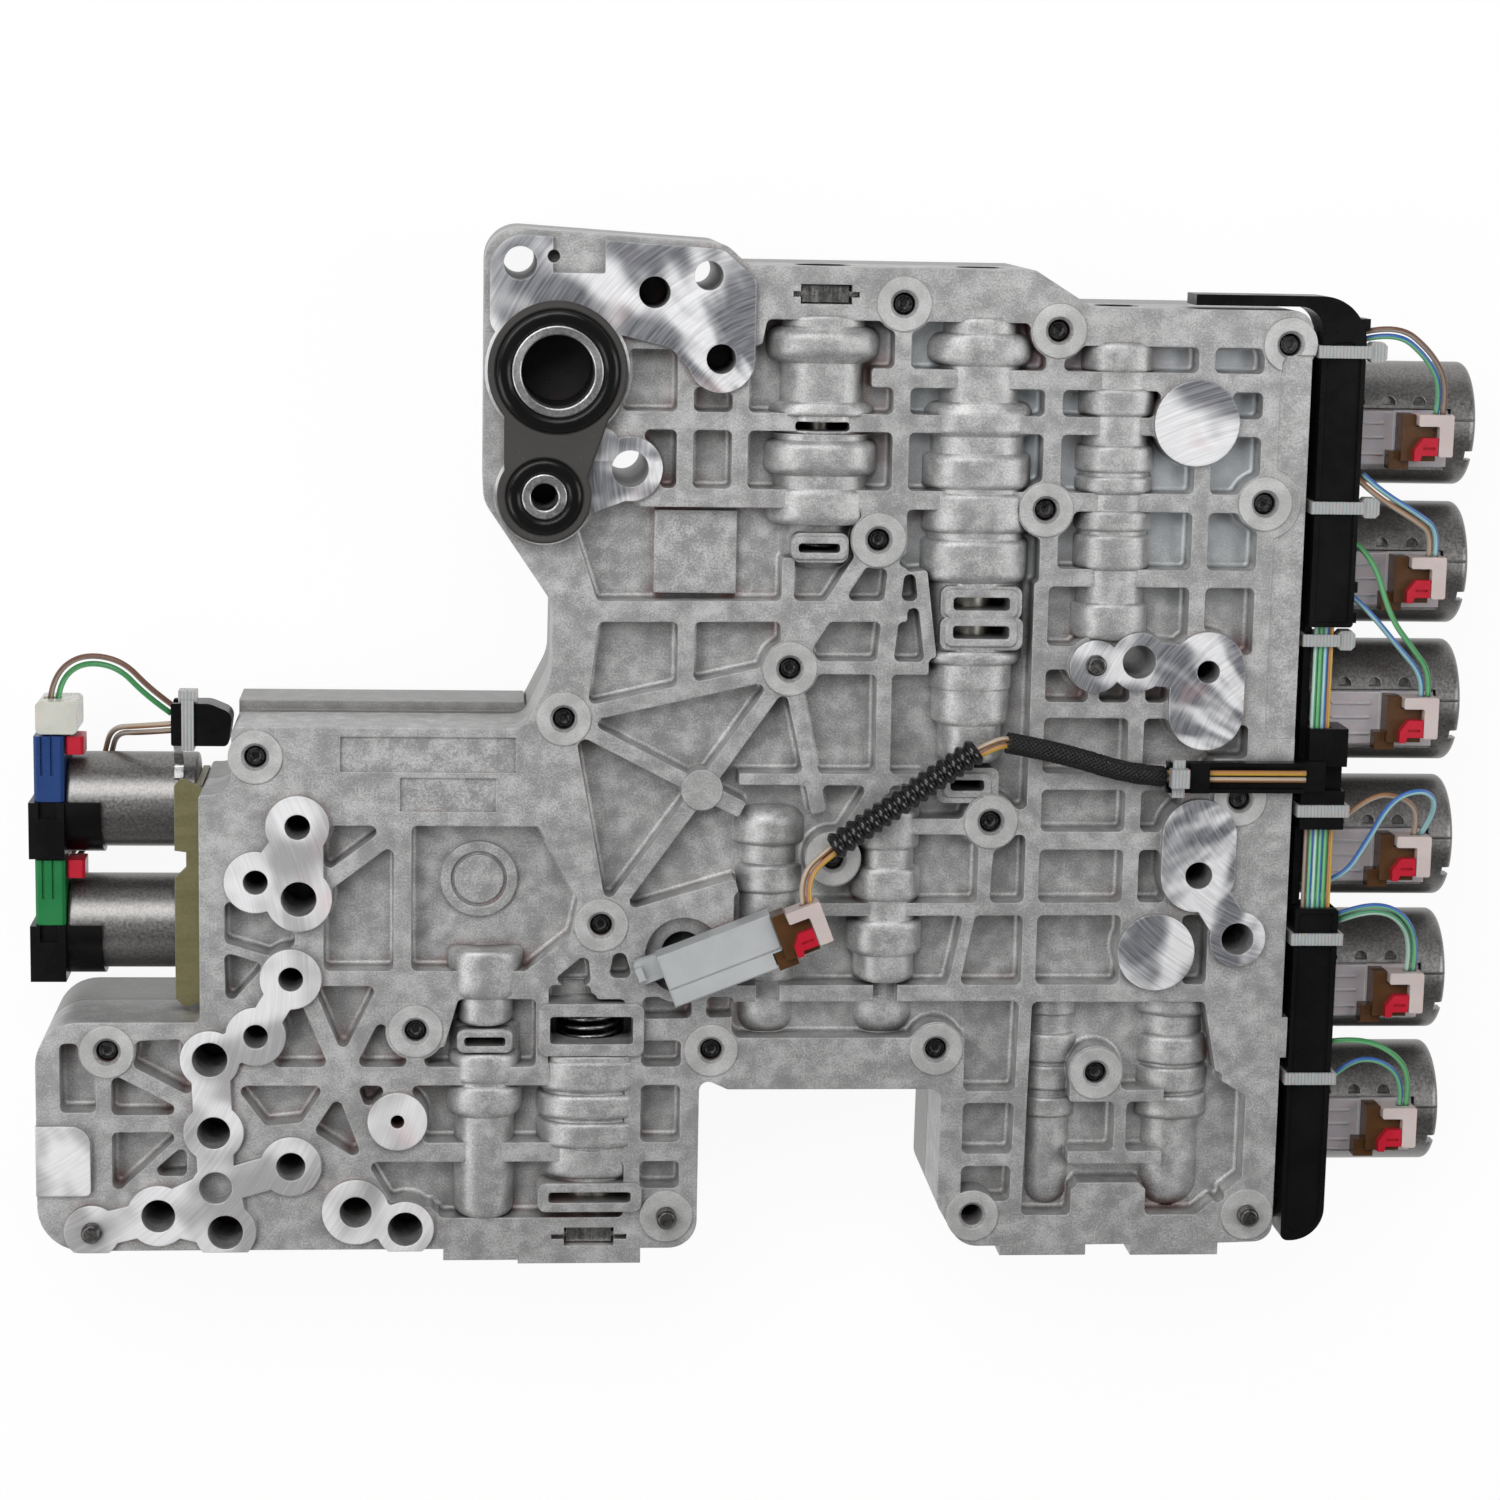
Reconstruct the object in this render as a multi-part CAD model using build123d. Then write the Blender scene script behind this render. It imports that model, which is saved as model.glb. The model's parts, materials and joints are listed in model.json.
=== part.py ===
from build123d import *
from math import atan2, cos, degrees, hypot, pi, radians, sin
import os

# Transmission valve body, in millimetres. X runs to the right and Y upwards over the ribbed
# face, Z from the table up through rear casting, separator plate and front casting.
# The origin lies on the resting face, under the middle of the castings.

os.makedirs("parts", exist_ok=True)

# Castings, heights
rear_height = 24.0
plate_thickness = 1.2
front_height = 24.8
rib_depth = 8.0
pad_rise = 2.0
corner_round = 1.6
edge_round = 0.8
floor_round = 1.2
rib_width = 3.8

plate_bottom = rear_height
front_bottom = plate_bottom + plate_thickness
rib_top = front_bottom + front_height
pocket_floor = rib_top - rib_depth
pad_top = rib_top + pad_rise

# Castings, outline
edge_right = 162.0
edge_left = -166.5
edge_block_left = -51.5
edge_upper_right = 115.8
edge_upper_middle = 125.0
edge_shelf = 5.3
edge_lower_left_top = -72.8
edge_step_left = -124.0
edge_bottom = -134.5
leg_left = 71.0
body_right = 6.5
tab_bottom = -91.0

# Valve barrels
valve_axis = pocket_floor - 5.0
spool_gap = 0.03
groove_depth = 2.4
plug_length = 8.0
retainer_thickness = 1.2
spring_wire = 1.2
spool_gap_to_plug = 0.3

# Screws and studs
boss_radius = 7.4
ring_radius = 3.7
ring_rise = 0.5
screw_hole_radius = 2.9
screw_radius = 2.7
screw_head_radius = 4.6
screw_head_height = 4.0
screw_recess = 1.6
screw_dimple_radius = 1.2
stud_radius = 2.6
stud_rise = 4.5

# Right-hand solenoids
can_radius = 16.4
can_height = 17.0
can_pitch = 37.6
can_first_y = 85.0
can_start = 164.2
can_end = 211.0
can_count = 6
nose_radius = 6.5
nose_length = 14.0

# Left-hand solenoids
small_can_radius = 12.6
small_can_height = 18.2
small_can_pitch = 33.0
small_can_first_y = -19.5
small_can_end = -160.0
small_can_start = -126.0
small_nose_radius = 5.5


def outline(corners):
    """A closed face through (x, y, radius) corners."""
    points = [(x, y) for x, y, _ in corners]
    return make_face(FilletPolyline(*points, radius=[r for _, _, r in corners], close=True))


def polygon(points):
    return make_face(Polyline(*points, close=True))


def disc(x, y, radius):
    return Pos(x, y) * Circle(radius)


def bar(x0, y0, x1, y1, width):
    """A straight strip between two points."""
    turn = degrees(atan2(y1 - y0, x1 - x0))
    return Pos((x0 + x1) / 2, (y0 + y1) / 2) * Rot(0, 0, turn) * Rectangle(hypot(x1 - x0, y1 - y0), width)


def box_between(x0, x1, y0, y1, z0, z1):
    return Pos((x0 + x1) / 2, (y0 + y1) / 2, (z0 + z1) / 2) * Box(x1 - x0, y1 - y0, z1 - z0)


def slab(face, z0, z1):
    return extrude(Pos(0, 0, z0) * face, z1 - z0)


def post(x, y, radius, z0, z1):
    return Pos(x, y, (z0 + z1) / 2) * Cylinder(radius, z1 - z0)


def rod_x(x0, x1, y, z, radius):
    return Pos((x0 + x1) / 2, y, z) * Rot(0, 90, 0) * Cylinder(radius, x1 - x0)


def rod_y(y0, y1, x, z, radius):
    return Pos(x, (y0 + y1) / 2, z) * Rot(90, 0, 0) * Cylinder(radius, abs(y1 - y0))


def save(node, *solids):
    shape = solids[0] if len(solids) == 1 else Compound(children=list(solids))
    shape.label = node
    export_step(shape, f"parts/{node}.step")


# Outline shared by both castings and the plate
casting_corners = [
    (edge_block_left, 133.8, 9.0),
    (9.5, 130.3, 6.0),
    (15.5, edge_upper_middle, 3.0),
    (89.0, edge_upper_middle, 2.0),
    (104.0, edge_upper_right, 3.0),
    (edge_right, edge_upper_right, 5.5),
    (edge_right, edge_bottom + 1.0, 5.0),
    (149.0, edge_bottom + 0.6, 0.0),
    (leg_left + 6.5, edge_bottom, 8.0),
    (leg_left - 0.3, -123.0, 6.0),
    (leg_left, tab_bottom, 3.0),
    (14.0, tab_bottom, 1.5),
    (body_right, -87.5, 2.5),
    (body_right, edge_bottom, 7.5),
    (edge_left, edge_bottom, 12.0),
    (edge_left, edge_lower_left_top, 11.5),
    (edge_step_left, edge_lower_left_top, 1.5),
    (edge_step_left, -12.5, 1.0),
    (-115.5, -12.5, 6.0),
    (-115.5, edge_shelf, 2.0),
    (-40.5, edge_shelf, 5.0),
    (-33.6, 19.0, 12.0),
    (-33.4, 38.0, 12.0),
    (edge_block_left, 64.5, 10.0),
]
casting_face = outline(casting_corners)

# Screws, studs and through holes, as places on the face
screws = [
    (55.5, 115.9), (95.7, 109.7), (156.1, 107.0), (151.2, 65.8), (93.8, 63.6),
    (50.5, 55.3), (28.2, 21.5), (-30.2, 8.0), (-109.4, -2.5), (82.0, -18.7),
    (-19.9, -46.6), (40.6, -28.8), (148.0, -12.4), (9.5, -80.3), (69.3, -80.1),
    (112.4, -86.7), (-148.0, -80.6), (-68.1, -75.1),
]
studs = [(-152.3, -128.8), (-1.7, -125.7), (154.8, -125.9), (108.0, 23.4)]
threaded_hole = (80.3, -125.9)
case_bolt_holes = [(-42.4, 124.7, 4.2), (5.3, 122.3, 3.7), (-14.0, 73.1, 4.7), (119.4, 24.3, 4.4)]

# Oil ports in the machined pads: place, radius
port_floor = front_bottom + 3.0
ports = [
    (-8.4, 117.9, 4.0), (8.8, 101.3, 3.8), (137.8, 21.8, 3.0), (137.5, -32.5, 3.6),
    (148.6, -49.6, 4.3), (-98.6, -20.5, 3.3), (-109.4, -35.1, 3.2), (-98.3, -39.5, 4.6),
    (-100.4, -60.8, 3.2), (-109.5, -76.1, 3.2), (-121.4, -82.3, 4.6), (-120.5, -102.0, 4.3),
    (-100.5, -111.2, 3.8), (-135.0, -124.5, 4.4), (-117.6, -129.0, 4.6), (-83.6, -123.7, 4.2),
    (-70.6, -128.4, 4.6), (-72.7, -99.1, 1.8),
]
shallow_holes = [(-120.1, -116.9, 4.3), (-34.0, 126.5, 1.6)]


def lobes(discs, necks):
    """Round lobes joined by straight necks, given as (first, second, width)."""
    shape = Sketch() + [disc(*d) for d in discs]
    for a, b, width in necks:
        shape += bar(discs[a][0], discs[a][1], discs[b][0], discs[b][1], width)
    return shape


# Seal carrier seats
pump_port = (-32.8, 97.8)
cooler_port = (-35.9, 66.1)
pump_seat_radius = 17.7
cooler_seat_radius = 12.0

pad_upper_left = (
    outline([
        (-50.0, 132.2, 8.5), (-34.2, 131.4, 0.0), (-34.2, 122.4, 0.6), (-21.0, 122.4, 0.6),
        (-21.0, 130.7, 0.0), (8.8, 129.0, 5.0), (17.4, 121.5, 4.0), (17.4, 101.3, 0.0),
        (1.5, 97.5, 0.0), (-4.0, 104.0, 6.0), (-17.0, 107.0, 0.0), (-32.8, 97.8, 0.0), (-50.0, 108.0, 5.0),
    ])
    + disc(8.8, 101.3, 8.6)
    + disc(*pump_port, pump_seat_radius + 0.8)
    + disc(*cooler_port, cooler_seat_radius + 0.8)
    + disc(-14.0, 73.1, 8.3)
    + bar(*pump_port, *cooler_port, 20.0)
    + outline([(-30.0, 86.0, 0.0), (-17.5, 82.6, 5.0), (-14.0, 70.0, 0.0), (-15.0, 64.9, 0.0), (-28.0, 60.0, 4.0), (-36.0, 66.0, 0.0)])
)
pad_right_upper = lobes(
    [(108.0, 23.0, 6.9), (119.4, 24.3, 7.7), (137.6, 22.3, 10.0), (137.6, 11.0, 9.9)],
    [(0, 1, 9.0), (1, 2, 11.5), (2, 3, 19.8)],
) & Pos(127.0, 16.0) * Rectangle(60.0, 34.0)
pad_right_lower = lobes(
    [(137.3, -22.0, 9.9), (137.3, -32.5, 9.9), (148.6, -49.6, 7.5)],
    [(0, 1, 19.8), (1, 2, 10.0)],
)
pad_left_upper = lobes(
    [(-98.6, -20.5, 8.2), (-109.4, -35.1, 8.1), (-98.3, -39.5, 8.6)],
    [(0, 2, 13.0), (1, 2, 12.0), (0, 1, 7.0)],
)
pad_left_tree = lobes(
    [
        (-100.4, -60.8, 8.0), (-109.5, -76.1, 7.8), (-121.4, -82.3, 7.7), (-120.5, -102.0, 7.8),
        (-100.5, -111.2, 8.0), (-119.8, -116.9, 6.6), (-135.0, -124.5, 8.2), (-117.6, -129.0, 8.0),
        (-152.3, -128.8, 7.2),
    ],
    [(0, 1, 8.0), (1, 2, 9.0), (2, 3, 10.0), (3, 5, 9.5), (5, 4, 9.0), (5, 6, 10.0), (5, 7, 12.0), (6, 8, 9.0), (6, 7, 9.0)],
)
pad_bottom_pair = lobes([(-83.6, -123.7, 8.8), (-70.6, -128.4, 7.5)], [(0, 1, 10.0)])
pad_corner = outline([(-168.0, -100.2, 0.0), (-152.4, -100.2, 5.0), (-152.4, -119.0, 1.5), (-168.0, -119.0, 0.0)])
machined_pads = (
    pad_upper_left + pad_right_upper + pad_right_lower + pad_left_upper + pad_left_tree
    + pad_bottom_pair + pad_corner + disc(132.1, 86.6, 11.1) + disc(126.9, -53.3, 10.3) + disc(-72.7, -99.1, 7.8)
) & casting_face

# Fields that hold the pockets between the ribs
fields = [
    polygon([
        (-16.5, 103.5), (19.0, 103.5), (20.5, 111.5), (92.0, 111.5), (96.0, 106.0), (149.5, 106.0), (149.5, -1.5),
        (139.0, -1.5), (139.0, -11.5), (131.0, -12.5), (131.0, -41.0), (141.0, -43.0), (141.0, -62.5), (91.0, -62.5),
        (91.0, -77.0), (14.8, -77.0), (14.8, -36.0), (-13.0, -42.5), (-19.0, -40.0), (-26.8, 2.0), (-24.0, 12.0),
        (-21.5, 33.5), (-22.0, 38.9), (-30.0, 63.4), (-12.2, 67.0), (-12.2, 83.0), (-16.5, 87.5),
    ]),
    polygon([(-92.0, -20.4), (-36.4, -20.4), (-26.0, -40.2), (-28.0, -49.5), (-39.5, -59.0), (-92.0, -59.0)]),
    polygon([(-117.5, -32.0), (-100.0, -32.0), (-99.2, -57.0), (-117.5, -51.5)]),
    polygon([(-117.7, -53.9), (-107.0, -57.3), (-117.2, -69.0)]),
    polygon([
        (-99.0, -63.0), (-77.0, -63.0), (-74.0, -71.0), (-61.0, -81.0), (-57.0, -66.5), (-36.0, -66.5), (-36.0, -62.7),
        (-22.3, -62.7), (-22.3, -66.5), (-9.0, -66.5), (-9.0, -77.5), (1.6, -77.5), (1.6, -118.0), (-9.0, -118.0),
        (-9.0, -126.0), (-62.0, -126.0), (-62.0, -123.0), (-73.6, -123.0), (-80.0, -112.0), (-93.0, -103.4),
        (-98.0, -99.8), (-107.0, -100.7), (-115.0, -90.0), (-110.0, -84.0),
    ]),
    polygon([
        (-160.3, -78.5), (-128.4, -77.2), (-125.4, -91.4), (-128.6, -102.5), (-147.7, -120.5), (-151.0, -120.5),
        (-151.3, -97.0), (-160.3, -97.0),
    ]),
    polygon([(-127.6, -105.0), (-138.0, -114.2), (-127.6, -114.2)]),
    polygon([(-8.7, -65.9), (15.4, -65.9), (15.4, -71.4), (-8.7, -71.9)]),
    polygon([(-17.7, -60.8), (-11.4, -60.8), (-13.5, -54.1), (-16.5, -54.1)]),
    polygon([(-34.0, -62.7), (-22.3, -62.7), (-23.2, -53.8)]),
    polygon([
        (76.8, -67.2), (141.0, -67.2), (145.0, -88.0), (153.2, -93.0), (153.2, -116.0), (147.0, -121.0), (141.0, -126.0),
        (127.0, -126.0), (127.0, -117.0), (106.8, -117.0), (106.8, -126.0), (93.5, -126.0), (93.5, -122.0), (77.0, -122.0),
    ]),
]

# Ribs: start, end, extra width over the common one
ribs = [
    # upright ribs
    (0.0, 104.0, 0.0, 66.0, 0.4), (14.1, 96.0, 14.1, 66.0, 0.3), (1.1, 37.0, 1.1, 15.0, 0.4),
    (27.2, 52.0, 27.2, 22.0, -0.6), (55.5, 112.0, 55.5, 50.0, 0.4), (55.5, 50.0, 52.8, 22.0, 0.6),
    (52.8, 22.0, 53.2, -13.0, 0.0), (94.9, 108.0, 94.9, 43.0, 0.8), (93.3, 46.0, 93.3, -66.0, 0.0),
    (92.9, -66.0, 91.8, -128.0, -0.4), (134.4, 106.0, 134.4, 26.0, 0.4), (119.6, 20.0, 119.6, -64.0, 0.3),
    (119.4, -93.0, 119.4, -112.0, -0.6), (80.7, -19.0, 80.7, -43.0, -0.4), (77.3, -43.0, 73.4, -63.0, -0.8),
    (65.0, 23.0, 61.5, 49.0, -0.6), (-71.6, -19.0, -71.6, -61.0, 0.8), (-149.0, -76.0, -149.0, -122.0, 0.2),
    (6.1, -64.0, 6.1, -73.0, 0.0), (-20.0, -52.0, -20.0, -66.0, 0.6), (-11.0, -64.0, -11.0, -126.0, 0.4),
    (-35.0, -84.0, -35.0, -64.0, -0.6),
    # level ribs
    (-17.0, 85.4, 150.0, 85.4, 0.8), (-13.0, 65.7, 150.0, 65.7, 1.0), (-25.0, 36.0, 60.0, 36.8, 1.6),
    (46.0, 97.0, 150.0, 97.0, 1.0), (28.2, 21.9, 66.0, 21.9, -0.4), (93.0, 46.0, 150.0, 46.0, 0.8),
    (94.0, 25.0, 109.0, 25.0, 2.4), (93.0, 11.2, 140.0, 11.2, 0.4), (93.0, -7.8, 140.0, -7.8, 0.6),
    (93.0, -23.6, 132.0, -23.6, 1.0), (14.0, -7.6, 66.0, -7.6, -0.8), (32.0, -42.4, 142.0, -41.8, -0.4),
    (16.0, -65.0, 150.0, -64.6, 0.6), (-93.0, -61.0, -46.0, -61.0, 0.0), (-116.0, -87.3, 3.0, -87.3, 1.2),
    (-82.0, -108.0, 3.0, -108.0, 1.4), (-151.0, -100.0, -124.0, -100.0, 0.8), (76.0, -93.3, 95.0, -93.3, -0.6),
    (76.0, -110.6, 95.0, -110.6, -0.4), (104.0, -93.0, 134.0, -93.0, -0.6), (104.0, -110.0, 134.0, -110.0, -0.4),
    (-27.0, 85.4, -12.0, 85.4, 0.8), (-15.0, -75.0, 16.0, -75.0, 1.6), (82.0, -18.7, 94.0, -18.7, 3.0),
    (57.0, -20.0, 82.0, -20.0, 0.4),
    # slanting ribs that meet at the screw bosses and at the hubs
    (-30.2, 8.0, 28.2, 21.5, 0.2), (-30.2, 8.0, 5.9, -10.5, 0.2), (28.2, 21.5, 5.9, -10.5, 0.2),
    (5.9, -10.5, -19.9, -46.6, 0.2), (5.9, -10.5, 18.0, -16.5, 0.6), (28.2, 21.5, 37.0, -18.0, 0.2),
    (28.2, 21.5, 48.0, 53.0, 0.2), (-19.9, -46.6, 17.0, -35.5, 0.0), (-92.0, -36.0, -71.0, -20.0, 0.6),
    (-87.3, -87.0, -98.0, -61.0, 0.6), (-87.3, -87.0, -75.0, -62.0, 0.6), (-87.3, -87.0, -102.0, -110.0, 0.2),
    (-87.3, -87.0, -78.0, -112.0, 1.6), (-146.0, -84.5, -122.0, -97.5, 0.4), (-22.0, -48.0, -44.0, -66.0, -0.2),
    (-50.0, -60.0, -36.0, -64.0, 0.0), (40.6, -28.8, 52.0, -10.0, 1.0), (82.0, -18.7, 81.0, -36.0, -1.0),
]


# Barrel profiles: start, end and half width at the pocket floor, from the upper end down
def port_window(x0, x1, y0, y1, frame, rise, rim=1.9):
    return {"slot": (x0, x1, y0, y1), "frame": frame, "rise": rise, "rim": rim}


barrels = [
    {
        "name": "main_pressure_valve", "x": 35.5, "bore": 7.5, "open": edge_upper_middle, "blind": 49.0, "travel": 6.0,
        "steps": [
            (112.5, 109.8, 11.0), (109.8, 100.5, 14.6), (100.5, 90.5, 9.9), (90.5, 82.0, 13.6), (82.0, 80.8, 12.2),
            (80.8, 71.6, 14.6), (71.6, 68.2, 12.0), (68.2, 59.0, 13.6), (59.0, 47.0, 10.2),
        ],
        "grooves": [(108.0, 102.0), (88.0, 82.0), (66.0, 60.0)],
        "windows": [port_window(28.2, 42.2, 83.2, 85.6, None, 0.0), port_window(29.6, 40.4, 52.0, 54.4, (28.0, 42.6, 49.4, 57.0), 0.0)],
    },
    {
        "name": "torque_converter_valve", "x": 76.4, "bore": 6.6, "open": edge_upper_middle, "blind": 1.0, "travel": 6.0,
        "steps": [
            (112.5, 108.6, 9.5), (108.6, 100.3, 13.6), (100.3, 91.0, 10.4), (91.0, 82.2, 14.1), (82.2, 77.8, 12.2),
            (77.8, 68.6, 14.1), (68.6, 67.6, 12.8), (67.6, 57.2, 14.0), (57.2, 55.6, 12.6), (55.6, 45.0, 14.1),
            (45.0, 22.8, 13.4), (22.8, 16.1, 10.7), (16.1, 6.8, 10.2), (6.8, -3.0, 8.3),
        ],
        "grooves": [(107.0, 101.5), (89.5, 83.5), (76.0, 70.0), (54.0, 47.0), (21.0, 17.0)],
        "windows": [
            port_window(70.2, 85.0, 37.4, 40.8, (67.0, 88.2, 35.0, 43.6), 0.0, 2.2),
            port_window(70.2, 85.0, 30.0, 33.4, (67.0, 88.6, 27.0, 35.6), 0.3, 2.2),
            port_window(71.0, 80.0, -10.4, -7.5, (67.6, 83.8, -13.8, -4.4), -1.4),
        ],
    },
    {
        "name": "clutch_regulator_valve", "x": 112.5, "bore": 6.0, "open": edge_upper_right, "blind": 34.0, "travel": 5.0,
        "steps": [
            (107.0, 99.4, 9.4), (99.4, 95.0, 8.6), (95.0, 88.0, 9.8), (88.0, 80.4, 8.6), (80.4, 73.4, 10.1),
            (73.4, 72.4, 9.0), (72.4, 67.8, 10.1), (67.8, 63.6, 8.6), (63.6, 58.2, 9.9), (58.2, 57.2, 8.9),
            (57.2, 48.0, 9.9), (48.0, 39.4, 8.6), (39.4, 29.5, 9.9),
        ],
        "grooves": [(94.0, 89.0), (79.0, 74.5), (62.5, 59.0), (55.0, 50.0)],
        "windows": [],
    },
    {
        "name": "cooler_bypass_valve", "x": 24.2, "bore": 5.0, "open": tab_bottom, "blind": -20.5, "travel": 4.0,
        "steps": [(-15.5, -26.1, 9.4), (-26.1, -31.2, 7.3), (-31.2, -39.0, 8.9), (-39.0, -79.5, 7.4)],
        "grooves": [(-38.0, -33.0)],
        "windows": [],
    },
    {
        "name": "lock_up_valve", "x": 55.3, "bore": 5.2, "open": tab_bottom, "blind": -20.5, "travel": 4.0,
        "steps": [
            (-15.5, -26.3, 8.6), (-26.3, -31.1, 7.2), (-31.1, -40.0, 9.1), (-40.0, -45.3, 7.8), (-45.3, -54.8, 9.9),
            (-54.8, -79.5, 8.0),
        ],
        "grooves": [(-39.0, -34.0), (-53.5, -47.0)],
        "windows": [],
    },
    {
        "name": "shift_valve_left", "x": -50.0, "bore": 5.0, "open": edge_bottom - 2.6, "blind": -59.0, "travel": 4.5,
        "steps": [
            (-53.6, -66.5, 9.9), (-66.5, -73.7, 7.3), (-73.7, -89.2, 9.4), (-89.2, -90.2, 8.2), (-90.2, -97.8, 9.9),
            (-97.8, -126.5, 7.8),
        ],
        "grooves": [(-80.0, -76.0), (-96.0, -92.0)],
        "windows": [port_window(-55.4, -44.6, -78.8, -76.4, (-56.8, -43.2, -80.4, -74.4), 0.0)],
    },
    {
        "name": "manual_pressure_valve", "x": -22.1, "bore": 9.0, "open": edge_bottom - 3.8, "blind": -69.5, "travel": 6.0,
        "steps": [
            (-66.8, -81.6, 12.6), (-81.6, -92.3, 13.6), (-92.3, -93.1, 12.2), (-93.1, -99.5, 13.6), (-99.5, -100.3, 12.2),
            (-100.3, -107.8, 13.6), (-107.8, -124.5, 12.4),
        ],
        "grooves": [(-91.0, -84.0), (-106.5, -102.0)],
        "windows": [
            port_window(-33.0, -11.2, -78.2, -70.8, (-35.8, -8.4, -81.4, -67.4), 1.2, 0.0),
            port_window(-33.0, -11.2, -121.4, -118.5, (-35.8, -8.4, -123.9, -116.1), 1.2, 0.0),
        ],
    },
    {
        "name": "shift_valve_right", "x": 101.2, "bore": 4.4, "open": edge_bottom - 2.6, "blind": -69.0, "travel": 4.0,
        "steps": [
            (-65.5, -72.4, 6.8), (-72.4, -77.4, 5.7), (-77.4, -85.3, 7.0), (-85.3, -86.2, 6.0), (-86.2, -92.9, 7.0),
            (-92.9, -94.9, 5.9), (-94.9, -100.4, 7.0), (-100.4, -126.5, 5.8),
        ],
        "grooves": [(-84.0, -79.0), (-99.5, -96.0)],
        "windows": [],
    },
    {
        "name": "solenoid_feed_valve", "x": 134.3, "bore": 5.4, "open": edge_bottom - 2.6, "blind": -69.0, "travel": 4.5,
        "steps": [
            (-64.0, -72.2, 9.9), (-72.2, -77.4, 7.8), (-77.4, -85.3, 9.7), (-85.3, -86.2, 8.6), (-86.2, -93.0, 9.7),
            (-93.0, -93.9, 8.6), (-93.9, -100.5, 9.9), (-100.5, -126.5, 7.9),
        ],
        "grooves": [(-84.0, -79.0), (-99.0, -95.0)],
        "windows": [],
    },
]


def barrel_solid(barrel):
    """Upper half of a turned tube whose port chambers bulge out."""
    depth = pocket_floor - valve_axis
    corners = [(0.0, barrel["steps"][0][0], 0.0)]
    radii = [hypot(half, depth) for _, _, half in barrel["steps"]]
    for i, (start, end, _) in enumerate(barrel["steps"]):
        length = start - end
        above = radii[i - 1] if i else 0.0
        below = radii[i + 1] if i + 1 < len(radii) else 0.0
        for y, other in ((start, above), (end, below)):
            corners.append((radii[i], y, min(max(0.88 * (radii[i] - other), 0.0), 0.46 * length)))
    corners.append((0.0, barrel["steps"][-1][1], 0.0))
    profile = outline(corners)
    half = revolve(profile, Axis.Y, 180.0)
    if half.bounding_box().max.Z < 1.0:
        half = Rot(0, 180, 0) * half
    return Pos(barrel["x"], 0, valve_axis) * half


def bore_solid(barrel):
    """The valve bore with its port grooves, as a tool."""
    inner, outer = barrel["blind"], barrel["open"]
    past = 1.0 if outer > inner else -1.0
    tool = rod_y(inner, outer + past, barrel["x"], valve_axis, barrel["bore"])
    for start, end in barrel["grooves"]:
        tool += rod_y(end, start, barrel["x"], valve_axis, barrel["bore"] + groove_depth)
    return tool


def inside(face, margin):
    """The straight-edged face less a strip along each edge."""
    strips = []
    for edge in face.edges():
        a, b = edge @ 0, edge @ 1
        strips.append(bar(a.X, a.Y, b.X, b.Y, 2 * margin))
    return face - (Sketch() + strips)


def pocket_tools():
    """Pockets between ribs, bosses and pads, with rounded corners and floors."""
    grow = corner_round
    middle = Sketch() + [inside(f, grow) for f in fields]
    walls = Sketch() + [bar(x0, y0, x1, y1, rib_width + extra + 2 * grow) for x0, y0, x1, y1, extra in ribs]
    walls = walls + [disc(x, y, boss_radius + grow) for x, y in screws + studs]
    walls = walls + offset(machined_pads, grow, kind=Kind.ARC)
    tools = []
    for face in (middle - walls).faces():
        if face.area > 0.6:
            rounded = offset(offset(face, grow + edge_round, kind=Kind.ARC), -edge_round, kind=Kind.ARC)
            tool = extrude(Pos(0, 0, rib_top + 5.0) * rounded, rib_depth + 5.0, dir=(0, 0, -1))
            low = tool.edges().filter_by_position(Axis.Z, pocket_floor - 0.01, pocket_floor + 0.01)
            tools.append(fillet(low, floor_round))
    return tools


# Retainers sit across the bores near their open ends
clip_depth = 7.0
clip_slot = 1.4
clips_from_above = ("main_pressure_valve", "manual_pressure_valve")


def along(barrel, t):
    """Height on the face at a distance t from the blind end of the bore."""
    return barrel["blind"] + (t if barrel["open"] > barrel["blind"] else -t)


def bore_length(barrel):
    return abs(barrel["open"] - barrel["blind"])


def spring_room(barrel):
    return barrel["travel"] + 10.0


def clip_slot_solid(barrel):
    y0 = along(barrel, bore_length(barrel) - clip_depth - clip_slot / 2)
    y1 = along(barrel, bore_length(barrel) - clip_depth + clip_slot / 2)
    half = barrel["bore"] + 1.0
    x = barrel["x"]
    if barrel["name"] in clips_from_above:
        low = valve_axis - barrel["bore"] * 0.6
        slot = box_between(x - half, x + half, min(y0, y1), max(y0, y1), low, rib_top + 6.0)
        mid = (y0 + y1) / 2
        return slot + box_between(x - 6.6, x + 6.6, mid - 2.5, mid + 2.5, rib_top - 5.5, rib_top + 6.0)
    return box_between(x - half, x + half, min(y0, y1), max(y0, y1), front_bottom - 1.0, valve_axis + barrel["bore"] + 0.6)


def clip_solid(barrel):
    """A flat steel plate with a notch, across the bore behind the plug."""
    mid = along(barrel, bore_length(barrel) - clip_depth)
    half = barrel["bore"] + 0.8
    x = barrel["x"]
    y0, y1 = mid - retainer_thickness / 2, mid + retainer_thickness / 2
    notch = barrel["bore"] * 0.45
    if barrel["name"] in clips_from_above:
        low, high = valve_axis - barrel["bore"] * 0.6 + 0.1, rib_top - 2.7
        plate = box_between(x - half, x + half, y0, y1, low, high)
        plate -= box_between(x - notch, x + notch, y0 - 1, y1 + 1, low - 1, valve_axis)
        return plate + box_between(x - 6.0, x + 6.0, mid - 2.1, mid + 2.1, high - 1.0, high)
    low, high = front_bottom + 0.1, valve_axis + barrel["bore"] + 0.4
    plate = box_between(x - half, x + half, y0, y1, low, high)
    return plate - box_between(x - notch, x + notch, y0 - 1, y1 + 1, valve_axis, high + 1)


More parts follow.
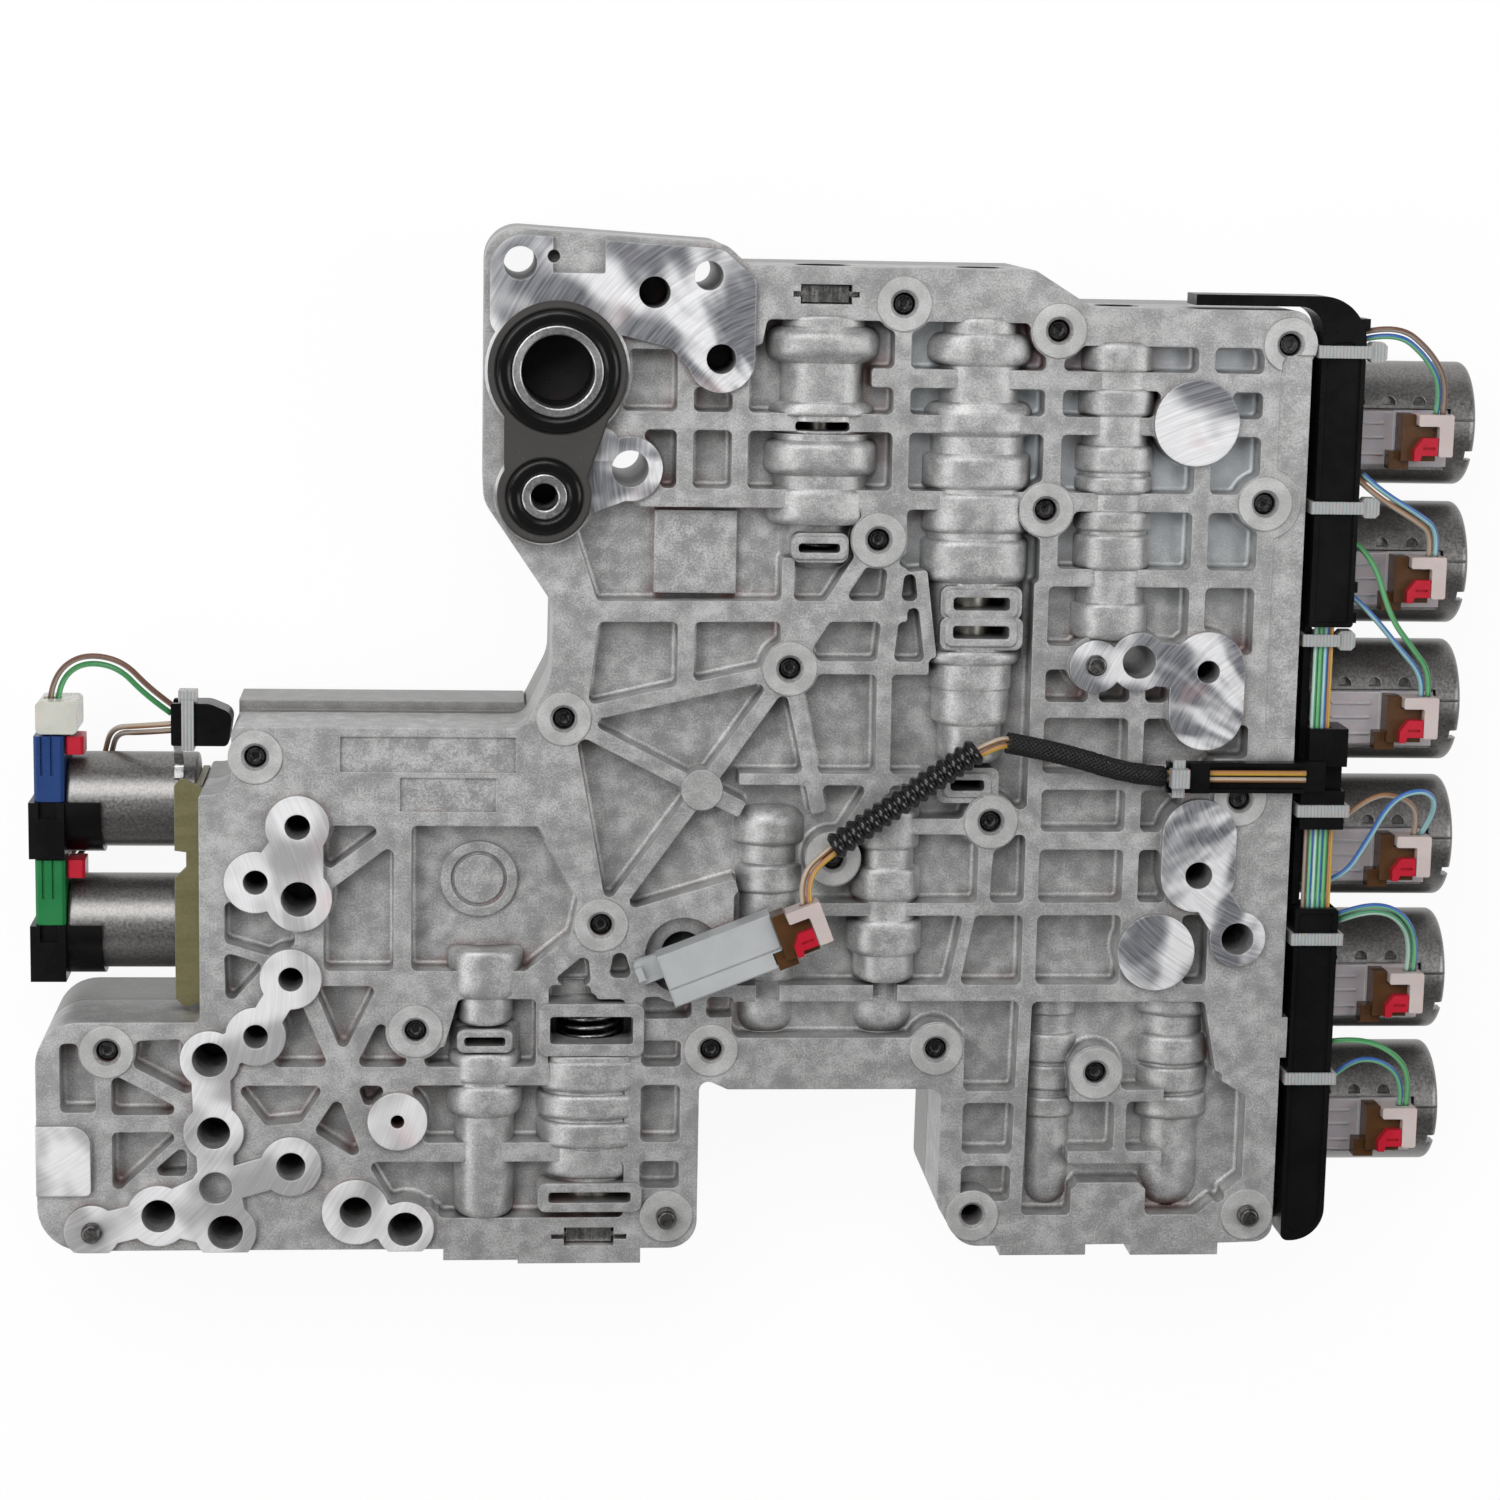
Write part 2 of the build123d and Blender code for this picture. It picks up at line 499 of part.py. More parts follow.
def port_slots(barrel, bottom, top):
    """Oil openings from the port grooves down through the separator plate."""
    width = barrel["bore"] * 1.2
    return [
        box_between(barrel["x"] - width / 2, barrel["x"] + width / 2, y0 + 0.5, y1 - 0.5, bottom, top)
        for y0, y1 in map(sorted, barrel["grooves"])
    ]


def tapped_hole(x, y, bottom):
    hole = post(x, y, screw_hole_radius, bottom, rib_top + 2.0)
    mouth = Pos(x, y, rib_top + ring_rise) * Rot(180, 0, 0) * Cone(ring_radius, 1.6, 2.6, align=(Align.CENTER, Align.CENTER, Align.MIN))
    return [hole, mouth]


rib_relief = 0.62
window_rise = 0.8
window_corner = 2.2
rim_rise = 0.8
rim_chamfer = 0.4
land_step = 0.35


def rounded_block(x0, x1, y0, y1, z0, z1, corner):
    return fillet(box_between(x0, x1, y0, y1, z0, z1).edges().filter_by(Axis.Z), corner)


def right_land():
    """The lower strip along the right edge, which curves round one screw boss."""
    strip = outline([(153.9, 4.0, 1.5), (153.9, 104.4, 3.0), (edge_right + 2.0, 104.4, 0.0), (edge_right + 2.0, 4.0, 0.0)])
    return slab(strip - disc(*screws[3], boss_radius + 2.0), rib_top - land_step, rib_top + 1.0)


def front_casting():
    body = slab(casting_face, front_bottom, rib_top) - pocket_tools()

    # machined pads, bosses, barrels and their window frames
    body += slab(machined_pads, pocket_floor - 1.0, pad_top)
    raised = [post(x, y, boss_radius - 0.4, pocket_floor - 1.0, rib_top + ring_rise) for x, y in screws + [threaded_hole]]
    raised += [slab(disc(x, y, boss_radius - 0.4) & casting_face, pocket_floor - 1.0, rib_top + ring_rise) for x, y in studs[1:3]]
    raised.append(post(-68.1, -75.1, 7.8, pocket_floor - 1.0, rib_top))
    raised.append(post(1.9, -54.8, 12.8, pocket_floor - 1.0, rib_top))
    raised.append(post(5.9, -10.5, 5.4, pocket_floor - 1.0, rib_top + 0.4))
    body += raised
    body -= [
        box_between(
            b["x"] - rib_relief * b["bore"], b["x"] + rib_relief * b["bore"], b["steps"][-1][1] + rib_width,
            b["steps"][0][0] - rib_width, rib_top - 4.0, rib_top + 1.0,
        )
        for b in barrels
    ]
    body += [barrel_solid(b) for b in barrels]
    frames = []
    for b in barrels:
        for w in b["windows"]:
            if w["frame"]:
                top = rib_top + window_rise + w["rise"]
                frames.append(rounded_block(*w["frame"], valve_axis, top, window_corner))
                if w["rim"]:
                    x0, x1, y0, y1 = w["slot"]
                    m = w["rim"]
                    rim = rounded_block(x0 - m, x1 + m, y0 - m, y1 + m, valve_axis, top + rim_rise, m)
                    edge = rim.edges().filter_by_position(Axis.Z, top + rim_rise - 0.01, top + rim_rise + 0.01)
                    frames.append(chamfer(edge, rim_chamfer))
    body += frames

    # lower end blocks round the open bores, and the lug on the right edge
    ends = [
        (-60.6, -40.9, -137.6), (-40.9, -8.4, -138.6), (88.0, 111.3, -137.1), (123.5, 147.3, -137.2),
    ]
    blocks = [box_between(x0, x1, y0, edge_bottom + 4.0, front_bottom + 0.4, rib_top) for x0, x1, y0 in ends]
    blocks.append(box_between(edge_right - 4.0, edge_right + 1.6, -82.5, -71.5, front_bottom + 2.0, rib_top))
    blocks.append(post(-51.8, -35.7, 10.0, pocket_floor - 1.0, pocket_floor + 1.6))
    blocks.append(box_between(-7.2, 14.1, 40.4, 61.9, pocket_floor - 1.0, pocket_floor + 2.4))
    body += blocks

    # shallow steps and recesses
    cuts = [
        box_between(-87.7, -42.4, -6.3, 2.9, rib_top - 0.8, rib_top + 1),
        box_between(-72.3, -47.5, -16.6, -7.8, rib_top - 0.8, rib_top + 1),
        right_land(),
        post(35.6, 83.7, 8.6, rib_top + 1.4, rib_top + 6),
        post(1.9, -54.8, 10.2, rib_top - 4.0, rib_top + 1),
        post(1.9, -54.8, 5.7, pocket_floor - 4.0, rib_top + 1),
        post(-51.8, -35.7, 7.4, pocket_floor + 0.8, rib_top + 1) - post(-51.8, -35.7, 6.4, pocket_floor, rib_top + 2),
    ]
    body -= cuts

    # valve bores, windows, ports and threaded holes
    bores = []
    for b in barrels:
        bores.append(bore_solid(b))
        bores.append(clip_slot_solid(b))
        bores += port_slots(b, front_bottom - 1.0, valve_axis)
        for w in b["windows"]:
            x0, x1, y0, y1 = w["slot"]
            window = box_between(x0, x1, y0, y1, valve_axis, rib_top + 8.0)
            bores.append(fillet(window.edges().filter_by(Axis.Z), 0.9))
    holes = [post(x, y, r, front_bottom - 1.0, pad_top + 1.0) for x, y, r in case_bolt_holes]
    holes += [post(x, y, r, port_floor, pad_top + 1.0) for x, y, r in ports]
    holes += [post(x, y, r, pad_top - 6.0, pad_top + 1.0) for x, y, r in shallow_holes]
    holes += [post(x, y, stud_radius + 0.05, front_bottom + 4.0, pad_top + 1.0) for x, y in studs]
    for x, y in screws:
        holes += tapped_hole(x, y, front_bottom - 1.0)
    holes += tapped_hole(*threaded_hole, front_bottom + 4.0)
    holes.append(post(*pump_port, 9.2, front_bottom + 4.0, pad_top + 1.0))
    holes.append(post(*pump_port, sleeve_big_outer + 0.05, sleeve_bottom, pad_top + 1.0))
    holes.append(post(*cooler_port, 3.4, front_bottom + 4.0, pad_top + 1.0))
    holes.append(post(*cooler_port, sleeve_small_outer + 0.05, sleeve_bottom, pad_top + 1.0))
    return body - bores - holes


# Seal carrier, rubber seals and sleeves
carrier_top = pad_top + 4.0
seal_top = pad_top + 5.4
sleeve_top = pad_top + 4.8
sleeve_bottom = rib_top
sleeve_big_outer = 11.7
sleeve_small_outer = 5.9
seal_big_outer = 15.6
seal_small_outer = 9.6


def ring(x, y, outer, inner, z0, z1, rounding):
    band = post(x, y, outer, z0, z1) - post(x, y, inner, z0 - 1, z1 + 1)
    top = band.edges().filter_by_position(Axis.Z, z1 - 0.01, z1 + 0.01)
    return fillet(top, rounding)


def seal_carrier():
    waist = outline([
        (-46.2, 88.0, 6.0), (-46.2, 70.0, 4.0), (-25.2, 70.0, 0.0), (-19.0, 88.0, 0.0), (-25.0, 96.0, 0.0), (-42.0, 96.0, 0.0),
    ])
    face = disc(*pump_port, pump_seat_radius) + disc(*cooler_port, cooler_seat_radius) + waist
    face = face - disc(*pump_port, seal_big_outer) - disc(*cooler_port, seal_small_outer)
    plate = slab(face, pad_top, carrier_top)
    rim = plate.edges().filter_by_position(Axis.Z, carrier_top - 0.01, carrier_top + 0.01)
    return chamfer(rim, 0.5)


# Screws, studs, plugs and retainers
head_bottom = 3.0


def casting_screw(x, y):
    head = Pos(x, y, head_bottom) * extrude(RegularPolygon(screw_head_radius, 6), screw_head_height)
    washer = post(x, y, screw_head_radius + 0.6, head_bottom + screw_head_height, head_bottom + screw_head_height + 1.2)
    top = rib_top - screw_recess
    shank = post(x, y, screw_radius, head_bottom + screw_head_height + 1.0, top)
    shank = chamfer(shank.edges().filter_by_position(Axis.Z, top - 0.01, top + 0.01), 0.6)
    return head + washer + shank - post(x, y, screw_dimple_radius, top - 0.8, top + 1.0)


def alignment_stud(x, y):
    top = rib_top + stud_rise
    stud = post(x, y, stud_radius, front_bottom + 4.1, top)
    return chamfer(stud.edges().filter_by_position(Axis.Z, top - 0.01, top + 0.01), 0.7)


def plug_solid(barrel):
    length = bore_length(barrel)
    outer = length - clip_depth - clip_slot / 2 - 0.05
    y0, y1 = along(barrel, outer - plug_length), along(barrel, outer)
    radius = barrel["bore"] - spool_gap
    groove = (y0 + y1) / 2
    plug = rod_y(min(y0, y1), max(y0, y1), barrel["x"], valve_axis, radius)
    band = rod_y(groove - 1.0, groove + 1.0, barrel["x"], valve_axis, radius + 1)
    return plug - (band - rod_y(groove - 2.0, groove + 2.0, barrel["x"], valve_axis, radius - 0.8))


def valve_solid(barrel):
    """A spool with full-width lands and waists beside the port grooves."""
    start = spring_room(barrel)
    end = bore_length(barrel) - clip_depth - clip_slot / 2 - 0.05 - plug_length - spool_gap_to_plug
    radius = barrel["bore"] - spool_gap
    waist = barrel["bore"] * 0.55
    spans = []
    for g0, g1 in barrel["grooves"]:
        low, high = sorted(abs(v - barrel["blind"]) for v in (g0, g1))
        if low - 2.0 > start + 3.0 and high + 1.0 < end - 2.5:
            spans.append((low - 2.0, high + 1.0))
    marks = sorted(spans)
    corners = [(0.0, start)]
    for low, high in marks:
        corners += [(radius, corners[-1][1]), (radius, low), (waist, low)] if corners[-1][0] == 0.0 else [(radius, low), (waist, low)]
        corners += [(waist, high), (radius, high)]
    if corners[-1][0] == 0.0:
        corners.append((radius, start))
    corners += [(radius, end), (0.0, end)]
    profile = polygon([(r, along(barrel, t)) for r, t in corners])
    return Pos(barrel["x"], 0, valve_axis) * revolve(profile, Axis.Y)


def spring_solid(barrel):
    room = spring_room(barrel)
    radius = barrel["bore"] - 1.5
    low, high = sorted((along(barrel, 0.9), along(barrel, room - 0.9)))
    turns = 6
    path = Helix((high - low) / turns, high - low, radius)
    wire = sweep(Plane(origin=path @ 0, z_dir=path % 0) * Circle(spring_wire / 2), path=path)
    return Pos(barrel["x"], high, valve_axis) * Rot(90, 0, 0) * wire


# Separator plate and rear casting
def separator_plate():
    plate = slab(casting_face, plate_bottom, front_bottom)
    holes = [post(x, y, screw_radius + 0.4, plate_bottom - 1, front_bottom + 1) for x, y in screws]
    holes += [post(x, y, r, plate_bottom - 1, front_bottom + 1) for x, y, r in case_bolt_holes]
    for b in barrels:
        holes += port_slots(b, plate_bottom - 1, front_bottom + 1)
    holes += [post(x, y, ball_port_radius, plate_bottom - 1, front_bottom + 1) for x, y in ball_wells]
    return plate - holes


ball_radius = 3.2
ball_port_radius = 2.2
ball_wells = [(64.0, 5.0), (-85.0, -45.0), (118.0, -55.0)]
ball_rise = 1.5
ball_center = plate_bottom - ball_rise - ball_radius
well_depth = 2 * ball_radius + ball_rise
underside_depth = 8.0
rear_wall = 4.5
rear_rib = 4.0


def rear_underside_tools():
    """A plain grid of pockets that lightens the hidden side."""
    floor_face = offset(casting_face, -rear_wall, kind=Kind.INTERSECTION)
    keep = Sketch() + [disc(x, y, screw_head_radius + 3.6) for x, y in screws]
    keep = keep + [disc(x, y, r + 4.0) for x, y, r in case_bolt_holes]
    tools = []
    pitch = 34.0
    for i in range(10):
        for j in range(8):
            x, y = -149.0 + i * pitch, -118.0 + j * pitch
            cell = (Pos(x, y) * Rectangle(pitch - rear_rib, pitch - rear_rib)) & floor_face
            if not cell:
                continue
            for face in (cell - keep).faces():
                if face.area > 60.0:
                    tools.append(extrude(Pos(0, 0, -1.0) * face, underside_depth + 1.0))
    return tools


def rear_casting():
    body = slab(casting_face, 0.0, plate_bottom)
    body += box_between(-115.2, -40.0, edge_shelf - 6.0, edge_shelf + 2.6, 3.0, plate_bottom - 2.0)
    body -= rear_underside_tools()
    cuts = []
    for x, y in screws:
        cuts.append(post(x, y, screw_radius + 0.3, -1.0, plate_bottom + 1.0))
        cuts.append(post(x, y, screw_head_radius + 1.2, -1.0, head_bottom + screw_head_height + 1.2))
    cuts += [post(x, y, r, -1.0, plate_bottom + 1.0) for x, y, r in case_bolt_holes]
    cuts += [post(x, y, ball_radius + 0.3, plate_bottom - well_depth, plate_bottom + 1.0) for x, y in ball_wells]
    for b in barrels:
        cuts += port_slots(b, plate_bottom - 9.0, plate_bottom + 1.0)
    for i in range(can_count):
        y = can_first_y - i * can_pitch
        cuts.append(rod_x(edge_right - nose_length, edge_right + 3.0, y, can_height, nose_radius + 0.1))
    for i in range(2):
        y = small_can_first_y - i * small_can_pitch
        cuts.append(rod_x(edge_step_left - 1.0, edge_step_left + nose_length, y, small_can_height, small_nose_radius + 0.1))
    return body - cuts


def check_ball(x, y):
    return Pos(x, y, ball_center) * Sphere(ball_radius)


# Right-hand solenoids: can, overmould, terminal body, wire plug and plug lock
def can_y(i):
    return can_first_y - i * can_pitch


def clutch_solenoid(i):
    y = can_y(i)
    profile = outline([
        (can_start, 0.0, 0.0), (can_start, can_radius - 1.4, 0.0), (can_start + 1.4, can_radius, 0.0),
        (can_end, can_radius, 1.8), (can_end, 0.0, 0.0),
    ])
    body = Pos(0, y, can_height) * revolve(profile, Axis.X)
    body += rod_x(edge_right - nose_length + 0.6, can_start + 1.0, y, can_height, nose_radius)
    for k in range(2):
        at = edge_right - nose_length + 3.0 + 5.0 * k
        body -= rod_x(at, at + 1.6, y, can_height, nose_radius + 1) - rod_x(at - 1, at + 3, y, can_height, nose_radius - 1.0)
    body -= rod_x(can_end - 0.6, can_end + 1.0, y, can_height, can_radius - 4.2)
    body -= box_between(169.0, 204.0, y - 11.6, y + 4.8, overmould_bottom, can_height + can_radius + 1)
    surface = can_height + can_radius
    for x in (179.2, 187.4, 195.6):
        body -= Pos(x, y + 6.2, surface - 2.1) * Cylinder(1.7, 2.4) - box_between(x - 3, x + 3, y + 3, y + 5.6, 0, 60)
    body -= box_between(204.6, can_end + 1, y + 1.6, y + 2.2, surface - 1.4, surface + 2)
    body -= box_between(can_end - 2.4, can_end + 1, y - 8.6, y - 6.4, can_height + 4.0, surface + 2)
    return body


overmould_bottom = 28.4
overmould_top = 31.6
terminal_top = 38.4


def overmould():
    block = box_between(169.3, 189.5, -10.6, 4.4, overmould_bottom, overmould_top)
    block = chamfer(block.edges().filter_by_position(Axis.Z, overmould_top - 0.01, overmould_top + 0.01), 0.6)
    block += box_between(189.0, 203.6, -10.6, 4.4, overmould_bottom, overmould_top)
    block += box_between(169.3, 173.6, -10.2, 4.2, overmould_bottom, overmould_top + 3.6)
    for y in (-7.6, -3.2, 0.6):
        block += box_between(176.0, 186.4, y, y + 0.5, overmould_top - 0.2, overmould_top + 0.5)
    return block


def terminal_body():
    block = box_between(189.6, 198.8, -8.6, 0.5, overmould_top, terminal_top)
    block += box_between(189.6, 193.2, -2.0, 3.7, overmould_top, terminal_top)
    block += box_between(187.0, 192.4, -11.0, -6.2, overmould_top, terminal_top - 2.4)
    return block


def wire_plug():
    plug = box_between(193.4, 202.8, 0.7, 3.8, 34.0, plug_top)
    plug += box_between(199.0, 202.8, -7.3, 3.8, 34.0, plug_top)
    plug = chamfer(plug.edges().filter_by(Axis.Z), 0.35)
    for x in lead_ends:
        plug -= rod_y(2.6, 5.0, x, lead_end_height, lead_radius + 0.3)
    return plug


def plug_lock():
    face = polygon([
        (192.5, -8.4), (194.2, -8.4), (194.6, -7.0), (198.8, -7.0), (198.8, -2.3), (194.8, -2.3), (192.5, -5.4),
    ])
    lock = slab(face, terminal_top, terminal_top + 2.6)
    return lock - box_between(194.8, 198.0, -5.4, -4.8, terminal_top + 2.0, terminal_top + 4)


def at_cans(make):
    return [Pos(0, can_y(i), 0) * make() for i in range(can_count)]


plug_top = 41.0
lead_radius = 0.75
lead_ends = (198.6, 200.4)
lead_end_height = 37.6


# Left-hand solenoids with their shells, connectors and locks
def small_can_y(i):
    return small_can_first_y - i * small_can_pitch


def small_solenoid(i):
    y = small_can_y(i)
    profile = outline([
        (small_can_end, 0.0, 0.0), (small_can_end, small_can_radius, 1.2), (small_can_start, small_can_radius, 0.8),
        (small_can_start, 0.0, 0.0),
    ])
    body = Pos(0, y, small_can_height) * revolve(profile, Axis.X)
    body += rod_x(small_can_start - 1.0, edge_step_left + nose_length - 0.6, y, small_can_height, small_nose_radius)
    at = edge_step_left + nose_length - 4.0
    return body - (rod_x(at - 1.6, at, y, small_can_height, 9) - rod_x(at - 3, at + 1, y, small_can_height, small_nose_radius - 1))


def connector_shell(i):
    y = small_can_y(i)
    outer = rod_x(-168.0, -150.8, y, small_can_height, small_can_radius + 1.4)
    outer &= box_between(-168.0, -150.8, y - 20, y + 1.4, 0, 60)
    cap = box_between(-169.4, small_can_end - 0.1, y - small_can_radius - 1.0, y + 1.4, 7.0, 33.0)
    cap += box_between(-169.4, small_can_end - 0.1, y + 1.4, y + 9.4, 10.0, 15.4)
    shell = outer + cap
    shell -= rod_x(small_can_end - 0.1, -150.0, y, small_can_height, small_can_radius + 0.05)
    return shell - box_between(-166.8, -162.0, y - 3.0, y + 2.0, 31.4, 34.0)


def side_connector(i):
    """Coloured connector body that stands up from its shell."""
    y = small_can_y(i)
    low, high = y + 1.5, y + 18.9
    body = box_between(-168.0, small_can_end - 0.2, low, high, 15.5, 32.0)
    body = chamfer(body.edges().filter_by(Axis.Y), 0.8)
    for x in (-166.2, -163.6):
        body -= box_between(x, x + 0.7, low + 7.0, high + 1, 31.4, 33.0)
    if i == 0:
        body += box_between(-166.0, -161.2, high - 0.5, high + 4.2, 19.0, 29.0)
        for x in left_lead_ends:
            body -= rod_y(high + 3.0, high + 5.0, x, left_lead_height, lead_radius + 0.3)
    return body


left_lead_ends = (-164.6, -162.6)
left_lead_height = 24.0


def side_lock(i):
    y = small_can_y(i) + 14.2
    lock = box_between(small_can_end, -155.2, y - 0.4, y + 4.4, 21.0, 30.0)
    return chamfer(lock.edges().filter_by(Axis.Y), 0.7)


def clear_cap():
    y = small_can_y(0) + 19.4
    cap = box_between(-167.4, -156.6, y, y + 8.6, 16.0, 31.6)
    cap = fillet(cap.edges().filter_by(Axis.Z), 1.4)
    cap -= box_between(-166.1, -161.1, y - 1, y + 4.3, 18.9, 29.1)
    return cap - box_between(-165.9, -161.3, y, y + 10, left_lead_height - 1.4, left_lead_height + 2.0)


def left_bracket():
    upright = box_between(small_can_start + 0.1, edge_step_left - 0.1, -71.0, -12.8, 5.0, 33.7)
    flange = slab(
        polygon([
            (-124.1, -13.4), (-129.6, -10.8), (-131.4, -13.0), (-131.4, -30.2), (-128.4, -30.6), (-128.4, -34.6),
            (-131.4, -37.6), (-131.4, -70.0), (-129.0, -72.4), (-124.1, -71.0),
        ]),
        33.6,
        35.2,
    )
    bracket = upright + flange
    for i in range(2):
        bracket -= rod_x(-130.0, -120.0, small_can_y(i), small_can_height, small_nose_radius + 0.2)
    return bracket


def right_bracket():
    strip = box_between(edge_right + 0.1, can_start - 0.1, -131.0, 110.0, 5.0, 36.4)
    strip -= box_between(edge_right - 1.0, can_start + 1.0, -83.4, -70.6, front_bottom, 40.0)
    for i in range(can_count):
        strip -= rod_x(edge_right - 2.0, can_start + 2.0, can_y(i), can_height, nose_radius + 0.2)
    return strip


# Wire conduits along the right-hand side
conduit_bottom = 38.0
conduit_top = 50.0
tray_bottom = rib_top + 1.4
tray_floor = rib_top + 2.4


def upper_conduit():
    face = outline([
        (164.4, 33.6, 0.0), (176.0, 33.6, 1.0), (176.0, 119.6, 12.0), (131.0, 119.6, 0.0), (131.0, 116.8, 0.0),
        (164.4, 116.8, 6.0),
    ])
    conduit = slab(face, conduit_bottom, conduit_top)
    recess = outline([(165.6, 34.8, 0.8), (174.8, 34.8, 0.8), (174.8, 108.0, 4.0), (165.6, 108.0, 4.0)])
    conduit -= slab(recess, conduit_top - 0.7, conduit_top + 1)
    for y in (36.0, 44.0, 112.5):
        conduit += box_between(175.0, 177.2, y - 1.4, y + 1.4, conduit_bottom + 1.0, conduit_top - 1.5)
    return conduit - box_between(166.6, 172.3, 30.0, 37.0, 44.2, 48.2)


def lower_conduit():
    face = outline([(164.4, -41.8, 0.0), (176.0, -41.8, 1.0), (176.0, -133.4, 9.0), (164.4, -133.4, 2.0)])
    conduit = slab(face, conduit_bottom, conduit_top)
    recess = outline([(165.4, -43.2, 0.8), (174.8, -43.2, 0.8), (174.8, -131.0, 6.0), (165.4, -131.0, 2.0)])
    conduit -= slab(recess, conduit_top - 0.7, conduit_top + 1)
    return conduit - box_between(166.4, 175.2, -46.0, -40.0, 44.2, 48.2)


def conduit_tee():
    tee = box_between(166.0, 176.3, -3.5, 6.6, conduit_bottom, conduit_top)
    tee += box_between(164.4, 176.1, -20.4, -10.0, conduit_bottom, conduit_top)
    tee += box_between(164.4, 166.4, -41.6, 33.4, conduit_bottom, conduit_bottom + 7.0)
    tee += box_between(166.0, 176.0, -10.5, -3.0, conduit_bottom, conduit_top - 4.0)
    tray = box_between(127.6, 170.0, -9.8, -1.8, tray_bottom, tray_floor)
    tray += box_between(127.6, 164.0, -9.8, -8.8, tray_bottom, tray_floor + 2.4)
    tray += box_between(127.6, 164.0, -2.8, -1.8, tray_bottom, tray_floor + 2.4)
    tray += box_between(133.4, 138.6, -9.8, -1.8, tray_floor + 1.8, tray_floor + 3.0)
    tee += tray
    tee += box_between(164.4, 170.0, -9.8, -1.8, conduit_top - 5.0, tray_floor)
    tee -= box_between(166.6, 172.3, 2.0, 8.0, 44.2, 48.2)
    return tee - box_between(166.4, 175.2, -22.0, -17.0, 44.2, 48.2)


# Left-hand cable clamp and spring clip
clamp_bottom = 26.0
clamp_top = 36.0


def cable_clamp():
    face = outline([(-132.0, -2.2, 0.6), (-117.2, -2.2, 1.5), (-116.0, 6.5, 3.0), (-122.0, 9.0, 5.0), (-132.0, 9.0, 0.6)])
    clamp = slab(face, clamp_bottom, clamp_top)
    slot = box_between(-133.0, -130.2, -1.0, 9.5, clamp_bottom + 2.0, clamp_top - 1.6)
    return clamp - slot


def clamp_clip():
    """Bent steel strip from the clamp down to the upper can."""
    face = outline([
        (-2.3, 27.0, 0.0), (-2.3, 30.6, 0.0), (-5.2, 30.6, 1.5), (-8.6, 27.6, 1.0), (-11.8, 29.6, 0.0),
        (-12.4, 28.8, 0.0), (-8.6, 26.4, 1.0), (-4.8, 29.2, 0.8), (-3.4, 29.2, 0.0), (-3.4, 27.0, 0.0),
    ])
    strip = extrude(face, 2.4)
    return Pos(-131.8, 0, 0) * (Plane.YZ.location * strip)


# Cable ties: closed bands with a head
tie_width = 3.2
tie_thickness = 1.0


def tie_band(x0, x1, z0, z1, y, head):
    band = box_between(x0 - tie_thickness, x1 + tie_thickness, y - tie_width / 2, y + tie_width / 2, z0 - tie_thickness, z1 + tie_thickness)
    band -= box_between(x0, x1, y - 5, y + 5, z0, z1)
    if head:
        block = box_between(x1 + 0.4, x1 + 5.2, y - 2.6, y + 2.6, z1 - 4.4, z1 + 0.2)
        band += chamfer(block.edges().filter_by(Axis.Z), 1.0)
    return band


def cable_ties():
    ties = []
    for y, head in ((105.4, True), (65.0, True), (-15.3, False), (-50.0, False), (-88.2, False)):
        ties.append(tie_band(164.3, 176.3, conduit_bottom - 0.1, conduit_top + 0.1, y, head))
    ties.append(tie_band(164.3, 172.3, conduit_bottom - 0.1, 47.4, 29.8, True))
    clamp_tie = box_between(-129.2, -126.0, -3.3, 10.1, clamp_bottom - 1.1, clamp_top + 1.1)
    clamp_tie -= box_between(-130.0, -125.0, -2.3, 9.1, clamp_bottom - 0.1, clamp_top + 0.1)
    clamp_tie += box_between(-130.0, -125.2, 9.6, 12.4, clamp_top - 4.5, clamp_top + 0.6)
    ties.append(clamp_tie)
    tray_tie = box_between(128.6, 131.8, -10.8, -0.8, tray_bottom - 0.8, tray_floor + 4.2)
    tray_tie -= box_between(128.0, 133.0, -9.9, -1.7, tray_bottom - 0.1, tray_floor + 3.2)
    tray_tie += box_between(127.8, 132.6, -7.9, -3.0, tray_floor + 3.2, tray_floor + 6.6)
    ties.append(tray_tie)
    return ties


# Wires: straight runs joined by tangent arcs
def bend_radii(points):
    radii = []
    for a, b, c in zip(points, points[1:], points[2:]):
        first = Vector(*b) - Vector(*a)
        second = Vector(*c) - Vector(*b)
        half = radians(first.get_angle(second)) / 2
        radii.append(0.45 * min(first.length, second.length) / (sin(half) / cos(half)))
    return radii


def shifted(points, distance):
    """The path moved sideways over the face, for the second wire of a pair."""
    moved = []
    for i, (x, y, z) in enumerate(points):
        before = points[max(i - 1, 0)]
        after = points[min(i + 1, len(points) - 1)]
        here = (x, y)
        inward = (here[0] - before[0], here[1] - before[1])
        outward = (after[0] - here[0], after[1] - here[1])
        units = [(v[0] / hypot(*v), v[1] / hypot(*v)) for v in (inward, outward) if hypot(*v) > 0]
        ux, uy = sum(u[0] for u in units), sum(u[1] for u in units)
        size = hypot(ux, uy)
        stretch = 1.0 if len(units) == 1 else 2.0 / size
        moved.append((x - uy / size * distance * stretch, y + ux / size * distance * stretch, z))
    return moved


def tube(name, points, radius, radii=None):
    radii = radii or bend_radii(points)
    print(name, "bend radii", [round(r, 1) for r in radii])
    path = FilletPolyline(*points, radius=radii)
    return sweep(Plane(origin=path @ 0, z_dir=path % 0) * Circle(radius), path=path)


def wire_pair(name, points, spacing):
    return [tube(f"{name} {k + 1}", shifted(points, side), lead_radius) for k, side in enumerate((spacing / 2, -spacing / 2))]


lead_spacing = 1.8


